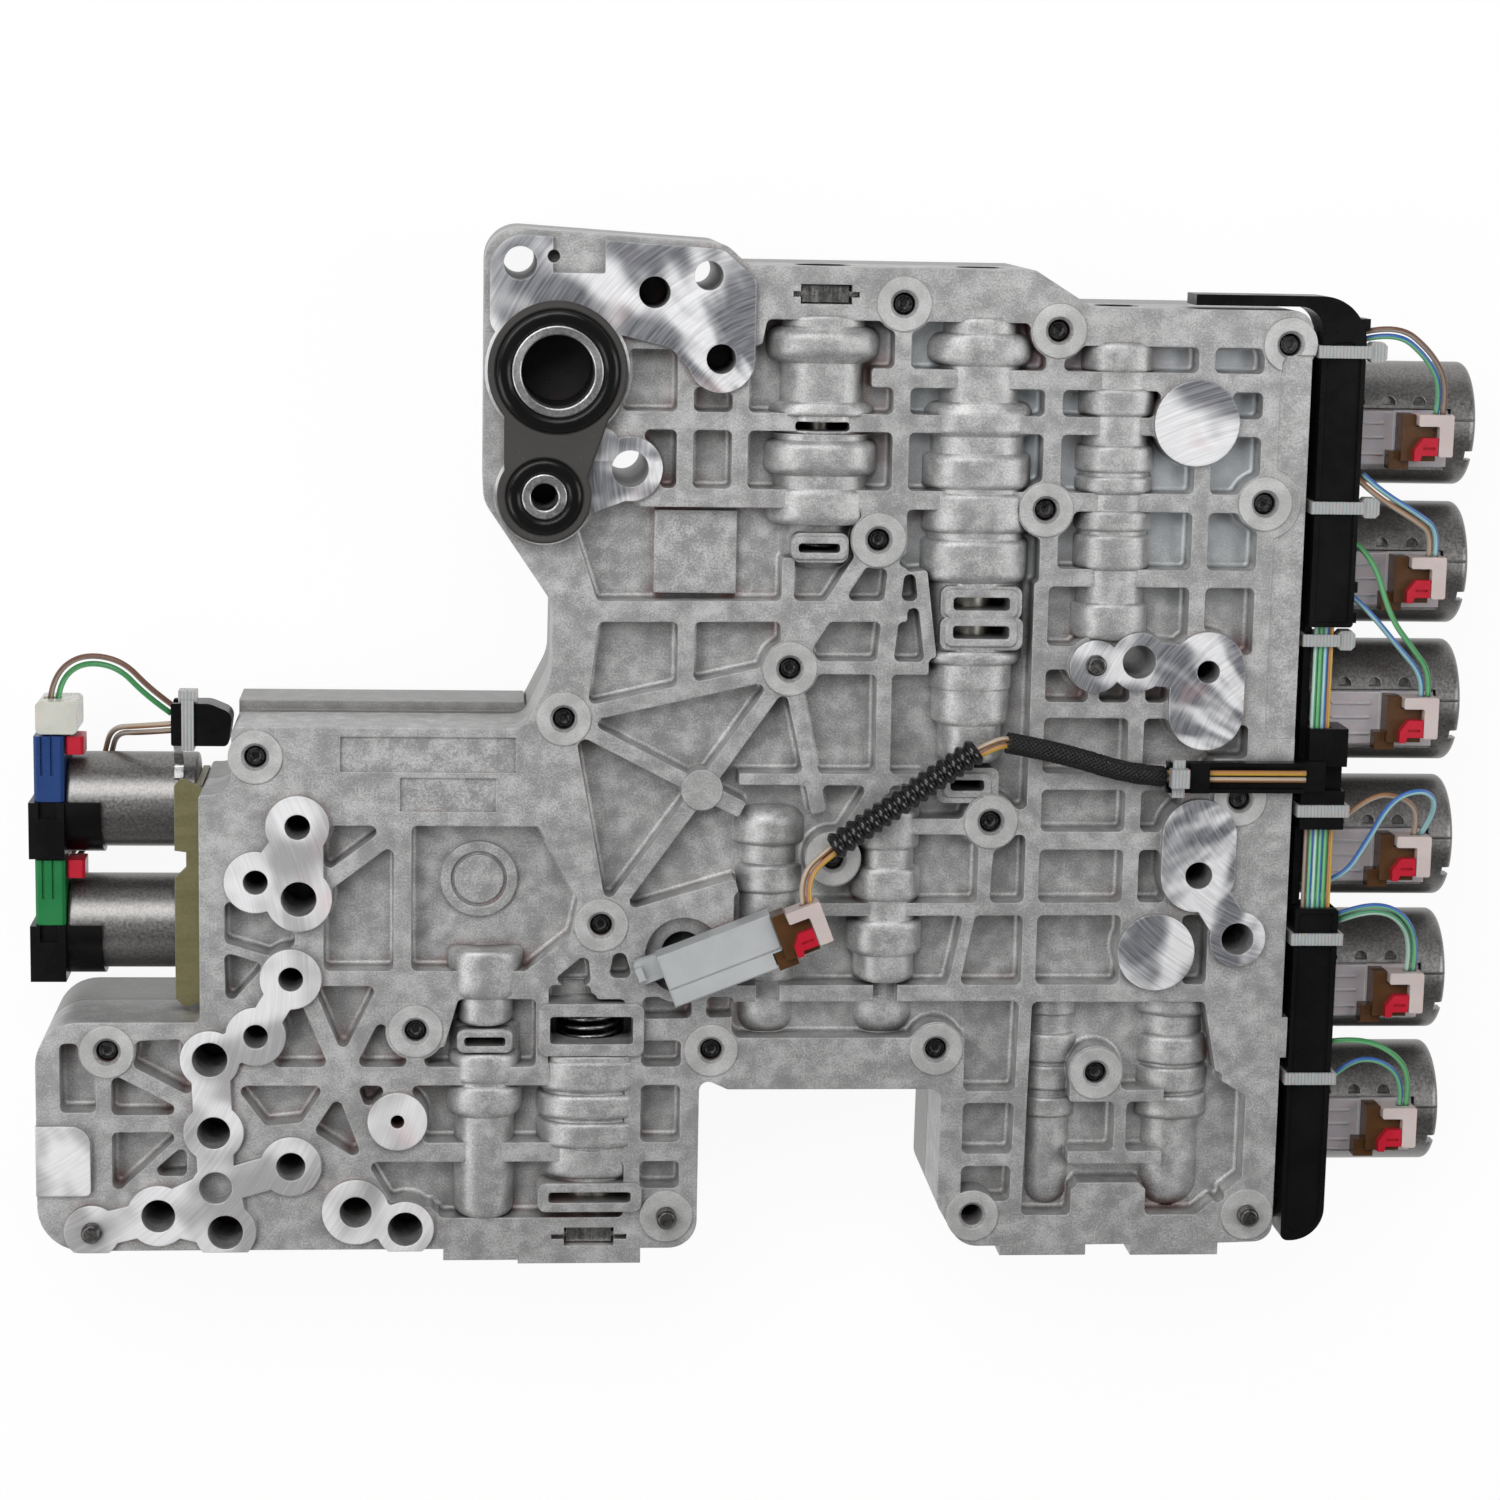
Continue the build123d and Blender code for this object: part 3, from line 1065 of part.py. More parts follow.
def right_leads():
    wires = []
    y = can_y(0) + 3.6
    wires += wire_pair("lead 1", [(178.2, 110.0, 45.5), (184.0, 112.0, 48.0), (193.5, 105.0, 46.5), (199.5, 96.5, 41.5), (199.5, y, lead_end_height)], lead_spacing)
    y = can_y(1) + 3.6
    wires += wire_pair("lead 2", [(177.4, 72.7, 44.8), (182.0, 68.5, 45.6), (193.5, 62.0, 43.5), (199.5, 57.8, 40.0), (199.5, y, lead_end_height)], lead_spacing)
    y = can_y(2) + 3.6
    wires.append(tube("lead 3 first", [(176.6, 55.5, 45.0), (182.0, 51.5, 45.5), (187.0, 36.0, 45.0), (194.0, 27.5, 43.0), (200.4, 20.0, 40.0), (200.4, y, lead_end_height)], lead_radius))
    wires.append(tube("lead 3 second", [(176.6, 41.5, 43.5), (181.5, 37.5, 43.8), (190.5, 27.5, 42.4), (198.6, 19.0, 39.6), (198.6, y, lead_end_height)], lead_radius))
    y = can_y(3) + 3.6
    wires.append(tube("lead 4 first", [(176.7, -18.9, 44.5), (184.5, -11.5, 45.0), (193.5, -12.5, 44.8), (198.6, -17.5, 41.5), (198.6, y, lead_end_height)], lead_radius))
    wires.append(tube("lead 4 second", [(170.0, -37.0, 42.0), (178.0, -35.5, 42.8), (184.0, -25.0, 44.5), (189.5, -12.0, 48.2), (198.5, -9.5, 48.4), (203.2, -15.5, 44.0), (200.4, y, lead_end_height)], lead_radius))
    y = can_y(4) + 3.6
    wires += wire_pair("lead 5", [(177.2, -45.6, 44.0), (184.5, -42.0, 46.0), (193.5, -43.8, 45.5), (199.5, -52.5, 41.5), (199.5, y, lead_end_height)], lead_spacing)
    y = can_y(5) + 3.6
    wires.append(tube("lead 6 first", [(176.6, -79.5, 44.5), (184.0, -78.0, 46.2), (194.0, -82.0, 45.2), (200.4, -90.0, 41.2), (200.4, y, lead_end_height)], lead_radius))
    wires.append(tube("lead 6 second", [(176.7, -91.8, 42.0), (182.0, -85.5, 43.0), (190.5, -84.5, 43.0), (198.6, -91.0, 40.6), (198.6, y, lead_end_height)], lead_radius))
    return wires


def left_leads():
    top = small_can_y(0) + 23.0
    upper = [
        (-163.6, top, left_lead_height), (-163.4, 12.0, 24.8), (-156.5, 19.8, 29.5), (-145.5, 19.2, 32.0),
        (-138.0, 11.0, 31.5), (-131.7, 6.4, 31.0),
    ]
    lower = [
        (-131.0, 2.0, 30.5), (-141.0, 0.6, 27.0), (-149.0, -2.2, 11.0), (-151.5, -9.5, 3.4), (-153.0, -18.0, 3.0),
        (-155.0, -30.0, 3.0),
        (-161.0, -38.5, 5.0), (-163.6, -40.0, 15.1),
    ]
    return wire_pair("left lead 1", upper, 2.0) + wire_pair("left lead 2", lower, 1.8)


def trunk_wires():
    wires = [rod_y(2.5, 36.5, 167.4 + 1.32 * k, 46.2, 0.65) for k in range(4)]
    wires += [rod_y(-45.5, -17.5, 167.2 + 1.32 * k, 46.2, 0.65) for k in range(6)]
    wires += [rod_x(126.6, 164.6, y, tray_floor + 0.8, lead_radius) for y in (-4.7, -6.5)]
    return wires


# Free branch: wires, braided sleeve, convoluted tube, plug and sensor
sensor_place = Pos(11.5, -54.25, 0.0) * Rot(0, 0, 21.4)
sensor_bottom = rib_top + 0.8
sensor_top = sensor_bottom + 8.0
sensor_length = 31.5
sensor_width = 14.4
plug_lift = sensor_bottom - overmould_bottom
sensor_plug_place = sensor_place * Pos(sensor_length / 2 - 189.6, 3.1, plug_lift)
branch_points = [
    (126.4, -5.6, tray_floor + 1.2), (117.5, -4.6, 56.4), (101.0, 0.4, 57.2), (88.6, 3.0, 57.2), (80.4, 4.4, 57.2),
    (37.6, -25.9, 57.2), (31.9, -32.6, 59.2), (32.9, -38.6, 60.2),
]
braid_radius = 2.75
conduit_tube_radius = 3.7
conduit_tube_bore = 2.5
conduit_tube_pitch = 1.7


def branch_braid():
    radii = bend_radii(branch_points)
    last = branch_points[4]
    before = branch_points[3]
    cut = 0.5
    stop = tuple(before[k] + (last[k] - before[k]) * cut for k in range(3))
    points = branch_points[:4] + [stop]
    outer = tube("braid", points, braid_radius, radii[:3])
    inner = tube("braid bore", points, braid_radius - 0.7, radii[:3])
    return outer - inner


def branch_conduit():
    """Corrugated tube: a turned wall with evenly spaced ridges."""
    start, end = Vector(*branch_points[4]), Vector(*branch_points[5])
    axis = (end - start).normalized()
    start = start + axis * 4.4
    length = (end - axis * 2.6 - start).length
    count = int(length / conduit_tube_pitch)
    corners = [(conduit_tube_bore, 0.0)]
    for k in range(count):
        z = k * conduit_tube_pitch
        corners += [(conduit_tube_radius - 0.9, z), (conduit_tube_radius, z + 0.35), (conduit_tube_radius, z + 0.95), (conduit_tube_radius - 0.9, z + 1.3)]
    corners += [(conduit_tube_radius - 0.9, count * conduit_tube_pitch), (conduit_tube_bore, count * conduit_tube_pitch)]
    profile = Plane.XZ * polygon(corners)
    wall = revolve(profile, Axis.Z)
    return Plane(origin=start, z_dir=axis).location * wall


def temperature_sensor():
    half = sensor_length / 2
    body = box_between(-half, half, -sensor_width / 2, sensor_width / 2, sensor_bottom, sensor_top)
    body = chamfer(body.edges().filter_by_position(Axis.Z, sensor_top - 0.01, sensor_top + 0.01), 0.4)
    body -= box_between(half - 2.9, half + 1, -sensor_width, -2.9, overmould_top + plug_lift, sensor_top + 1)
    body -= box_between(-half - 1, half + 1, -2.4, -2.0, sensor_top - 0.4, sensor_top + 1)
    tab = outline([(-half + 0.5, 0.2, 0.0), (-half - 6.6, 0.2, 1.5), (-half - 6.6, 6.8, 1.5), (-half + 0.5, 6.8, 0.0)])
    body += slab(tab, sensor_bottom, sensor_bottom + 2.4)
    body += box_between(-half - 6.6, -half - 4.6, 1.6, 5.4, sensor_bottom, sensor_bottom + 4.2)
    return sensor_place * body


if __name__ == "__main__":
    save("front_casting", front_casting())
    save("separator_plate", separator_plate())
    save("rear_casting", rear_casting())
    save("seal_carrier", seal_carrier())
    save("pump_port_seal", ring(*pump_port, seal_big_outer - 0.05, sleeve_big_outer + 0.05, pad_top, seal_top, 1.2))
    save("pump_port_sleeve", ring(*pump_port, sleeve_big_outer, 9.2, sleeve_bottom, sleeve_top, 0.5))
    save("cooler_port_seal", ring(*cooler_port, seal_small_outer - 0.05, sleeve_small_outer + 0.05, pad_top, seal_top, 1.1))
    save("cooler_port_sleeve", ring(*cooler_port, sleeve_small_outer, 3.4, sleeve_bottom, sleeve_top, 0.5))
    save("casting_screws", *[casting_screw(x, y) for x, y in screws])
    save("alignment_studs", *[alignment_stud(x, y) for x, y in studs])
    save("bore_plugs", *[plug_solid(b) for b in barrels])
    save("plug_retainers", *[clip_solid(b) for b in barrels])
    for b in barrels:
        save(b["name"], valve_solid(b))
    save("valve_springs", *[spring_solid(b) for b in barrels])
    for i, (x, y) in enumerate(ball_wells):
        save(f"check_ball_{i + 1}", check_ball(x, y))
    for i in range(can_count):
        save(f"clutch_solenoid_{i + 1}", clutch_solenoid(i))
    save("solenoid_overmoulds", *at_cans(overmould))
    save("solenoid_terminals", *at_cans(terminal_body))
    save("solenoid_wire_plugs", *at_cans(wire_plug))
    save("solenoid_plug_locks", *at_cans(plug_lock))
    save("lockup_solenoid", small_solenoid(0))
    save("pressure_solenoid", small_solenoid(1))
    save("connector_shells", *[connector_shell(i) for i in range(2)])
    save("blue_connector", side_connector(0))
    save("green_connector", side_connector(1))
    save("side_connector_locks", *[side_lock(i) for i in range(2)])
    save("connector_cap", clear_cap())
    save("left_bracket", left_bracket())
    save("right_bracket", right_bracket())
    save("upper_conduit", upper_conduit())
    save("lower_conduit", lower_conduit())
    save("conduit_tee", conduit_tee())
    save("cable_clamp", cable_clamp())
    save("clamp_clip", clamp_clip())
    save("cable_ties", *cable_ties())
    save("solenoid_leads", *right_leads())
    save("side_leads", *left_leads())
    save("trunk_wires", *trunk_wires())
    save("branch_wires", *wire_pair("branch", branch_points, lead_spacing))
    save("branch_braid", branch_braid())
    save("branch_conduit", branch_conduit())
    save("sensor_plug", sensor_plug_place * wire_plug())
    save("sensor_plug_lock", sensor_plug_place * plug_lock())
    save("sensor_terminal", sensor_plug_place * terminal_body())
    save("temperature_sensor", temperature_sensor())
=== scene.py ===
"""The looks of a cast transmission valve body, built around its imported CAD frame.

Lengths are in metres, in the frame's own axes: X to the solenoids, Y up the casting, Z towards the ribbed face.
Routes and cross-sections are listed in millimetres, and metres() turns them.
"""

import json
import math

import bmesh
import bpy
from mathutils import Matrix, Vector


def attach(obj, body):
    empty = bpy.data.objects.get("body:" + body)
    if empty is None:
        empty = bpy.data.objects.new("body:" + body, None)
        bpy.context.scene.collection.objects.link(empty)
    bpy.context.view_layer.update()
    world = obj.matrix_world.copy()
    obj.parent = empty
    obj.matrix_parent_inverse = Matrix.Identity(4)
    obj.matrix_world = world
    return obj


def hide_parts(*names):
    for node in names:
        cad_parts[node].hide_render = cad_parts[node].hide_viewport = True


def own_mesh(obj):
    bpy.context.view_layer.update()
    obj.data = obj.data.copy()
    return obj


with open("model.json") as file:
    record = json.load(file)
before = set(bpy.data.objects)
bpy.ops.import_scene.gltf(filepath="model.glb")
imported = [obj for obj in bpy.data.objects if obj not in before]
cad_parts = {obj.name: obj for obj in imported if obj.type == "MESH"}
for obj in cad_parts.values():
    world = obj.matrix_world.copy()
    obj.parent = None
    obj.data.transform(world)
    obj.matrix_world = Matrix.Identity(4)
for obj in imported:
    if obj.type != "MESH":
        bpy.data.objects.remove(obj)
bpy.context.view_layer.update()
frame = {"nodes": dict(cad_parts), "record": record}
cad = frame["nodes"]

MM = 0.001
RIB_TOP = 50.0 * MM
PAD_TOP = 52.0 * MM
POCKET_FLOOR = 42.0 * MM
PUMP_PORT = (-32.8 * MM, 97.8 * MM, 0.0)
PORT_RADIUS = 9.4 * MM
FRAMED_BARREL_X = -22.1 * MM
UPPER_CUTTER, RIGHT_CUTTER, LEFT_CUTTER = (0.030, 0.075), (0.165, -0.005), (-0.190, -0.060)


def metres(points):
    return [tuple(value * MM for value in point) for point in points]


# Camera and lamps

camera_data = bpy.data.cameras.new("camera")
camera_data.lens = 84.0
camera_data.sensor_width = 36.0
camera_data.clip_end = 10.0
camera = bpy.data.objects.new("camera", camera_data)
camera_right = Vector((0.99671, 0.01974, 0.07855))
camera_up = Vector((-0.00591, 0.98499, -0.17253))
camera_back = camera_right.cross(camera_up).normalized()
camera_up = camera_back.cross(camera_right).normalized()
camera_turn = Matrix((camera_right.normalized(), camera_up, camera_back)).transposed().to_4x4()
camera_place = Vector((-0.05528, 0.15617, 0.94350))
camera.matrix_world = Matrix.Translation(camera_place) @ camera_turn
bpy.context.scene.collection.objects.link(camera)
bpy.context.scene.camera = camera
bpy.context.scene.view_settings.view_transform = "Standard"


def area_lamp(name, place, aim, size, power):
    data = bpy.data.lights.new(name, "AREA")
    data.shape = "RECTANGLE"
    data.size, data.size_y = size
    data.energy = power
    lamp = bpy.data.objects.new(name, data)
    lamp.location = place
    lamp.rotation_euler = (Vector(aim) - Vector(place)).to_track_quat("-Z", "Y").to_euler()
    bpy.context.scene.collection.objects.link(lamp)


area_lamp("key_softbox", (-0.35, 0.72, 1.15), (0.0, 0.0, 0.0), (1.3, 0.8), 15.0)
area_lamp("right_softbox", (0.95, 0.10, 0.80), (0.05, 0.0, 0.0), (0.5, 1.0), 5.5)
area_lamp("left_softbox", (-0.90, -0.30, 0.95), (0.0, 0.0, 0.0), (0.5, 1.0), 5.5)


# Shader building

def put(tree, kind, inputs=None, **settings):
    """Adds a node, sets its properties, and fills or links its inputs."""
    node = tree.nodes.new(kind)
    node.location = (len(tree.nodes) % 9 * 180, -(len(tree.nodes) // 9) * 220)
    for name, value in settings.items():
        setattr(node, name, value)
    for key, value in (inputs or {}).items():
        if isinstance(value, bpy.types.NodeSocket):
            tree.links.new(value, node.inputs[key])
        else:
            node.inputs[key].default_value = value
    return node


def calc(tree, operation, a, b=0.0, clamp=False):
    return put(tree, "ShaderNodeMath", {0: a, 1: b}, operation=operation, use_clamp=clamp).outputs[0]


def times(tree, product, *factors):
    for factor in factors:
        product = calc(tree, "MULTIPLY", product, factor)
    return product


def weigh(tree, share, first, second):
    """Two values added, with the first one's share of the sum."""
    return calc(tree, "ADD", times(tree, first, share), times(tree, second, 1.0 - share))


def pick(tree, share, first, second):
    """The first value where the share is 0, and the second where it is 1."""
    return put(tree, "ShaderNodeMix", {0: share, 2: first, 3: second}).outputs[0]


def vector_math(tree, operation, a, b=(0.0, 0.0, 0.0), result="Vector"):
    return put(tree, "ShaderNodeVectorMath", {0: a, 1: b}, operation=operation).outputs[result]


def axes_of(tree, vector):
    return put(tree, "ShaderNodeSeparateXYZ", {0: vector}).outputs


def joined(tree, x, y, z=0.0):
    return put(tree, "ShaderNodeCombineXYZ", {0: x, 1: y, 2: z}).outputs[0]


def ease(tree, value, low, high, start=0.0, stop=1.0):
    """Turns low..high into start..stop, with soft ends."""
    inputs = {"Value": value, "From Min": low, "From Max": high, "To Min": start, "To Max": stop}
    return put(tree, "ShaderNodeMapRange", inputs, interpolation_type="SMOOTHSTEP").outputs[0]


def noise(tree, place, scale, detail=3.0, roughness=0.55):
    inputs = {"Vector": place, "Scale": scale, "Detail": detail, "Roughness": roughness}
    return put(tree, "ShaderNodeTexNoise", inputs).outputs[0]


def tint(tree, share, first, second):
    """Two colours mixed by a share."""
    return put(tree, "ShaderNodeMix", {0: share, 6: first, 7: second}, data_type="RGBA").outputs[2]


def rgb(red, green, blue):
    return (red, green, blue, 1.0)


def object_place(tree):
    return put(tree, "ShaderNodeTexCoord").outputs["Object"]


def height_bump(tree, height, strength, distance, normal=None):
    inputs = {"Height": height, "Strength": strength, "Distance": distance}
    if normal is not None:
        inputs["Normal"] = normal
    return put(tree, "ShaderNodeBump", inputs).outputs[0]


def effect_group(name, inputs, outputs):
    """A shader node group with named number inputs and named outputs."""
    tree = bpy.data.node_groups.new(name, "ShaderNodeTree")
    for label, value in inputs.items():
        tree.interface.new_socket(label, in_out="INPUT", socket_type="NodeSocketFloat").default_value = value
    for label, kind in outputs.items():
        tree.interface.new_socket(label, in_out="OUTPUT", socket_type=kind)
    start = tree.nodes.new("NodeGroupInput")
    end = tree.nodes.new("NodeGroupOutput")
    return tree, start.outputs, end.inputs


FLOAT = "NodeSocketFloat"
VECTOR = "NodeSocketVector"


def cast_grain_group():
    """Sandy die-cast skin: fine grains over soft waves, and a slow change of tone."""
    waves_per_m, tones_per_m, flecks_per_m = 210.0, 26.0, 950.0
    tree, given, out = effect_group(
        "cast grain", {"Grains per m": 2000.0}, {"Height": FLOAT, "Tone": FLOAT, "Fleck": FLOAT}
    )
    place = object_place(tree)
    grains = noise(tree, place, given["Grains per m"], 4.0, 0.7)
    waves = noise(tree, place, waves_per_m, 2.0)
    tree.links.new(weigh(tree, 0.62, grains, waves), out["Height"])
    tree.links.new(ease(tree, noise(tree, place, tones_per_m, 5.0, 0.6), 0.32, 0.68), out["Tone"])
    tree.links.new(ease(tree, noise(tree, place, flecks_per_m, 3.0, 0.75), 0.62, 0.78), out["Fleck"])
    return tree


def soft_edges_group():
    """Rounded edges for the shading, and a mask of where they are."""
    tree, given, out = effect_group("soft edges", {"Radius": 0.5 * MM}, {"Normal": VECTOR, "Edge": FLOAT})
    soft = put(tree, "ShaderNodeBevel", {"Radius": given["Radius"]}, samples=2).outputs[0]
    flat = put(tree, "ShaderNodeNewGeometry").outputs["Normal"]
    same = vector_math(tree, "DOT_PRODUCT", soft, flat, "Value")
    tree.links.new(soft, out["Normal"])
    tree.links.new(ease(tree, same, 0.998, 0.86), out["Edge"])
    return tree


def crevice_group():
    """How deep a point lies in a corner, from 0 in the open to 1."""
    tree, given, out = effect_group("crevices", {"Reach": 4.0 * MM}, {"Depth": FLOAT})
    open_share = put(tree, "ShaderNodeAmbientOcclusion", {"Distance": given["Reach"]}, samples=3).outputs["AO"]
    tree.links.new(calc(tree, "SUBTRACT", 1.0, open_share, clamp=True), out["Depth"])
    return tree


def milled_group():
    """Arc-shaped cutter marks on a milled face, and fans of painted reflection, light and dark, round the cutter's
    centre.
    """
    marks_per_radian, fans_per_m, fans_per_radian = 3.0, 26.0, 2.4
    tree, given, out = effect_group(
        "milled face", {"Centre X": 0.0, "Centre Y": 0.0, "Marks per m": 1400.0}, {"Height": FLOAT, "Fan": FLOAT}
    )
    centre = joined(tree, given["Centre X"], given["Centre Y"])
    axes = axes_of(tree, vector_math(tree, "SUBTRACT", object_place(tree), centre))
    turn = calc(tree, "ARCTAN2", axes["Y"], axes["X"])
    squares = [times(tree, axes[label], axes[label]) for label in "XY"]
    span = calc(tree, "SQRT", calc(tree, "ADD", *squares))
    strip = joined(tree, times(tree, span, given["Marks per m"]), times(tree, turn, marks_per_radian))
    fine = noise(tree, strip, 1.0, 3.0, 0.7)
    wide = joined(tree, times(tree, span, fans_per_m), times(tree, turn, fans_per_radian))
    fans = ease(tree, noise(tree, wide, 1.6, 2.0, 0.5), 0.40, 0.60)
    streaks = ease(tree, fine, 0.3, 0.7)
    tree.links.new(fine, out["Height"])
    tree.links.new(weigh(tree, 0.72, fans, streaks), out["Fan"])
    return tree


def drawn_steel_group():
    """Fine lines and soft speckle of rolled or drawn steel, longer along one axis."""
    speckles_per_m = 1300.0
    tree, given, out = effect_group(
        "drawn steel", {"Along X": 60.0, "Along Y": 900.0, "Along Z": 900.0}, {"Line": FLOAT, "Speckle": FLOAT}
    )
    stretch = joined(tree, given["Along X"], given["Along Y"], given["Along Z"])
    place = object_place(tree)
    lines = vector_math(tree, "MULTIPLY", place, stretch)
    tree.links.new(noise(tree, lines, 1.0, 4.0, 0.6), out["Line"])
    tree.links.new(ease(tree, noise(tree, place, speckles_per_m, 3.0, 0.7), 0.35, 0.65), out["Speckle"])
    return tree


def moulded_skin_group():
    """Moulded plastic: faint texture, uneven gloss and a little dust."""
    pits_per_m, clouds_per_m, dust_per_m = 1800.0, 90.0, 2400.0
    tree, given, out = effect_group("moulded skin", {"Scale": 1.0}, {"Height": FLOAT, "Gloss": FLOAT, "Dust": FLOAT})
    place = object_place(tree)
    tree.links.new(noise(tree, place, times(tree, given["Scale"], pits_per_m), 2.0, 0.6), out["Height"])
    tree.links.new(noise(tree, place, times(tree, given["Scale"], clouds_per_m), 4.0, 0.6), out["Gloss"])
    tree.links.new(ease(tree, noise(tree, place, dust_per_m, 2.0, 0.8), 0.66, 0.8), out["Dust"])
    return tree


cast_grain = cast_grain_group()
soft_edges = soft_edges_group()
crevices = crevice_group()
milled_face = milled_group()
drawn_steel = drawn_steel_group()
moulded_skin = moulded_skin_group()


def use(tree, group, **inputs):
    """Places a shared effect in a material, with this material's values."""
    node = put(tree, "ShaderNodeGroup", node_tree=group)
    for label, value in inputs.items():
        node.inputs[label.replace("_", " ")].default_value = value
    return node.outputs


def new_material(name):
    material = bpy.data.materials.new(name)
    material.use_nodes = True
    tree = material.node_tree
    return material, tree, tree.nodes["Principled BSDF"]


def wire_up(tree, shader, **inputs):
    for label, value in inputs.items():
        socket = shader.inputs[label.replace("_", " ")]
        if isinstance(value, bpy.types.NodeSocket):
            tree.links.new(value, socket)
        else:
            socket.default_value = value


def pale_bluish_floors(tree, colour, axes, facing):
    """Pocket floors at the upper right, paler and bluish."""
    low = ease(tree, axes["Z"], POCKET_FLOOR + 1.4 * MM, POCKET_FLOOR + 0.2 * MM)
    level = ease(tree, facing, 0.2, 0.6)
    right = ease(tree, axes["X"], 0.040, 0.075)
    upper = ease(tree, axes["Y"], 0.030, 0.070)
    return tint(tree, times(tree, low, level, right, upper, 0.55), colour, rgb(0.60, 0.66, 0.70))


def painted_bore_shade(tree, colour, place, axes, facing, corner):
    """Painted shade: near-black insides of the bores, the pump port and the deep holes."""
    below = ease(tree, axes["Z"], POCKET_FLOOR - 0.4 * MM, POCKET_FLOOR - 1.6 * MM)
    bore = times(tree, below, ease(tree, corner, 0.15, 0.38))
    across = vector_math(tree, "MULTIPLY", vector_math(tree, "SUBTRACT", place, PUMP_PORT), (1.0, 1.0, 0.0))
    reach = vector_math(tree, "LENGTH", across, result="Value")
    under_seal = ease(tree, axes["Z"], RIB_TOP + 1.0 * MM, RIB_TOP)
    port = times(tree, ease(tree, reach, PORT_RADIUS + 0.3 * MM, PORT_RADIUS), under_seal)
    hole_floor = times(tree, ease(tree, axes["Z"], 39.0 * MM, 37.0 * MM), ease(tree, facing, 0.4, 0.7))
    inside = calc(tree, "MAXIMUM", calc(tree, "MAXIMUM", bore, port), hole_floor)
    return tint(tree, times(tree, inside, 0.95), colour, rgb(0.008, 0.008, 0.008))


def dried_oil(tree, colour, place, corner):
    """Red-brown oil that dried in some corners."""
    patches = ease(tree, noise(tree, place, 34.0, 3.0, 0.6), 0.50, 0.62)
    film = times(tree, ease(tree, corner, 0.30, 0.62), patches, 0.55)
    return tint(tree, film, colour, rgb(0.20, 0.045, 0.035))


def turned_rings(tree, colour, axes):
    """The screw bosses' rings, turned bright just above the ribs."""
    over = ease(tree, axes["Z"], RIB_TOP + 0.35 * MM, RIB_TOP + 0.45 * MM)
    under = ease(tree, axes["Z"], RIB_TOP + 0.75 * MM, RIB_TOP + 0.65 * MM)
    return tint(tree, times(tree, over, under, 0.35), colour, rgb(0.72, 0.72, 0.71))


def pad_mask(tree, axes, facing):
    """Where the milled pads lie. The window frames of one barrel are as high, and stay as cast."""
    from_barrel = calc(tree, "ABSOLUTE", calc(tree, "SUBTRACT", axes["X"], FRAMED_BARREL_X))
    beside = ease(tree, from_barrel, 14.4 * MM, 14.8 * MM)
    clear = calc(tree, "MAXIMUM", beside, ease(tree, axes["Y"], -67.0 * MM, -66.0 * MM))
    high = ease(tree, axes["Z"], PAD_TOP - 0.12 * MM, PAD_TOP - 0.04 * MM)
    return times(tree, high, ease(tree, facing, 0.99, 0.999), clear)


def milled_pads(tree, place, axes, edges):
    """Colour, roughness and normal of the milled pads. Each area has its own cutter path. The colour carries painted
    reflections in light and dark fans, and a painted highlight on the edges.
    """
    upper, right, left = (
        use(tree, milled_face, Centre_X=x, Centre_Y=y) for x, y in (UPPER_CUTTER, RIGHT_CUTTER, LEFT_CUTTER)
    )
    to_right = ease(tree, axes["X"], 0.055, 0.056)
    to_left = ease(tree, axes["X"], -0.059, -0.060)
    reflection_fan, marks = (
        pick(tree, to_left, pick(tree, to_right, upper[kind], right[kind]), left[kind]) for kind in ("Fan", "Height")
    )
    # painted reflection: the dark end of the fans, darker on the upper and right pads than on the left ones
    dark_reflection_tone = tint(tree, to_left, rgb(0.15, 0.155, 0.18), rgb(0.50, 0.49, 0.50))
    colour = tint(tree, reflection_fan, dark_reflection_tone, rgb(0.95, 0.95, 0.96))
    stained = times(tree, ease(tree, noise(tree, place, 48.0, 2.0), 0.62, 0.75), 0.25)
    colour = tint(tree, stained, colour, rgb(0.62, 0.30, 0.30))
    # painted highlight: pad edges paler towards white
    colour = tint(tree, times(tree, edges["Edge"], 0.6), colour, rgb(0.95, 0.95, 0.95))
    roughness = ease(tree, reflection_fan, 0.0, 1.0, 0.30, 0.46)
    return colour, roughness, height_bump(tree, marks, 0.10, 0.04 * MM, edges["Normal"])


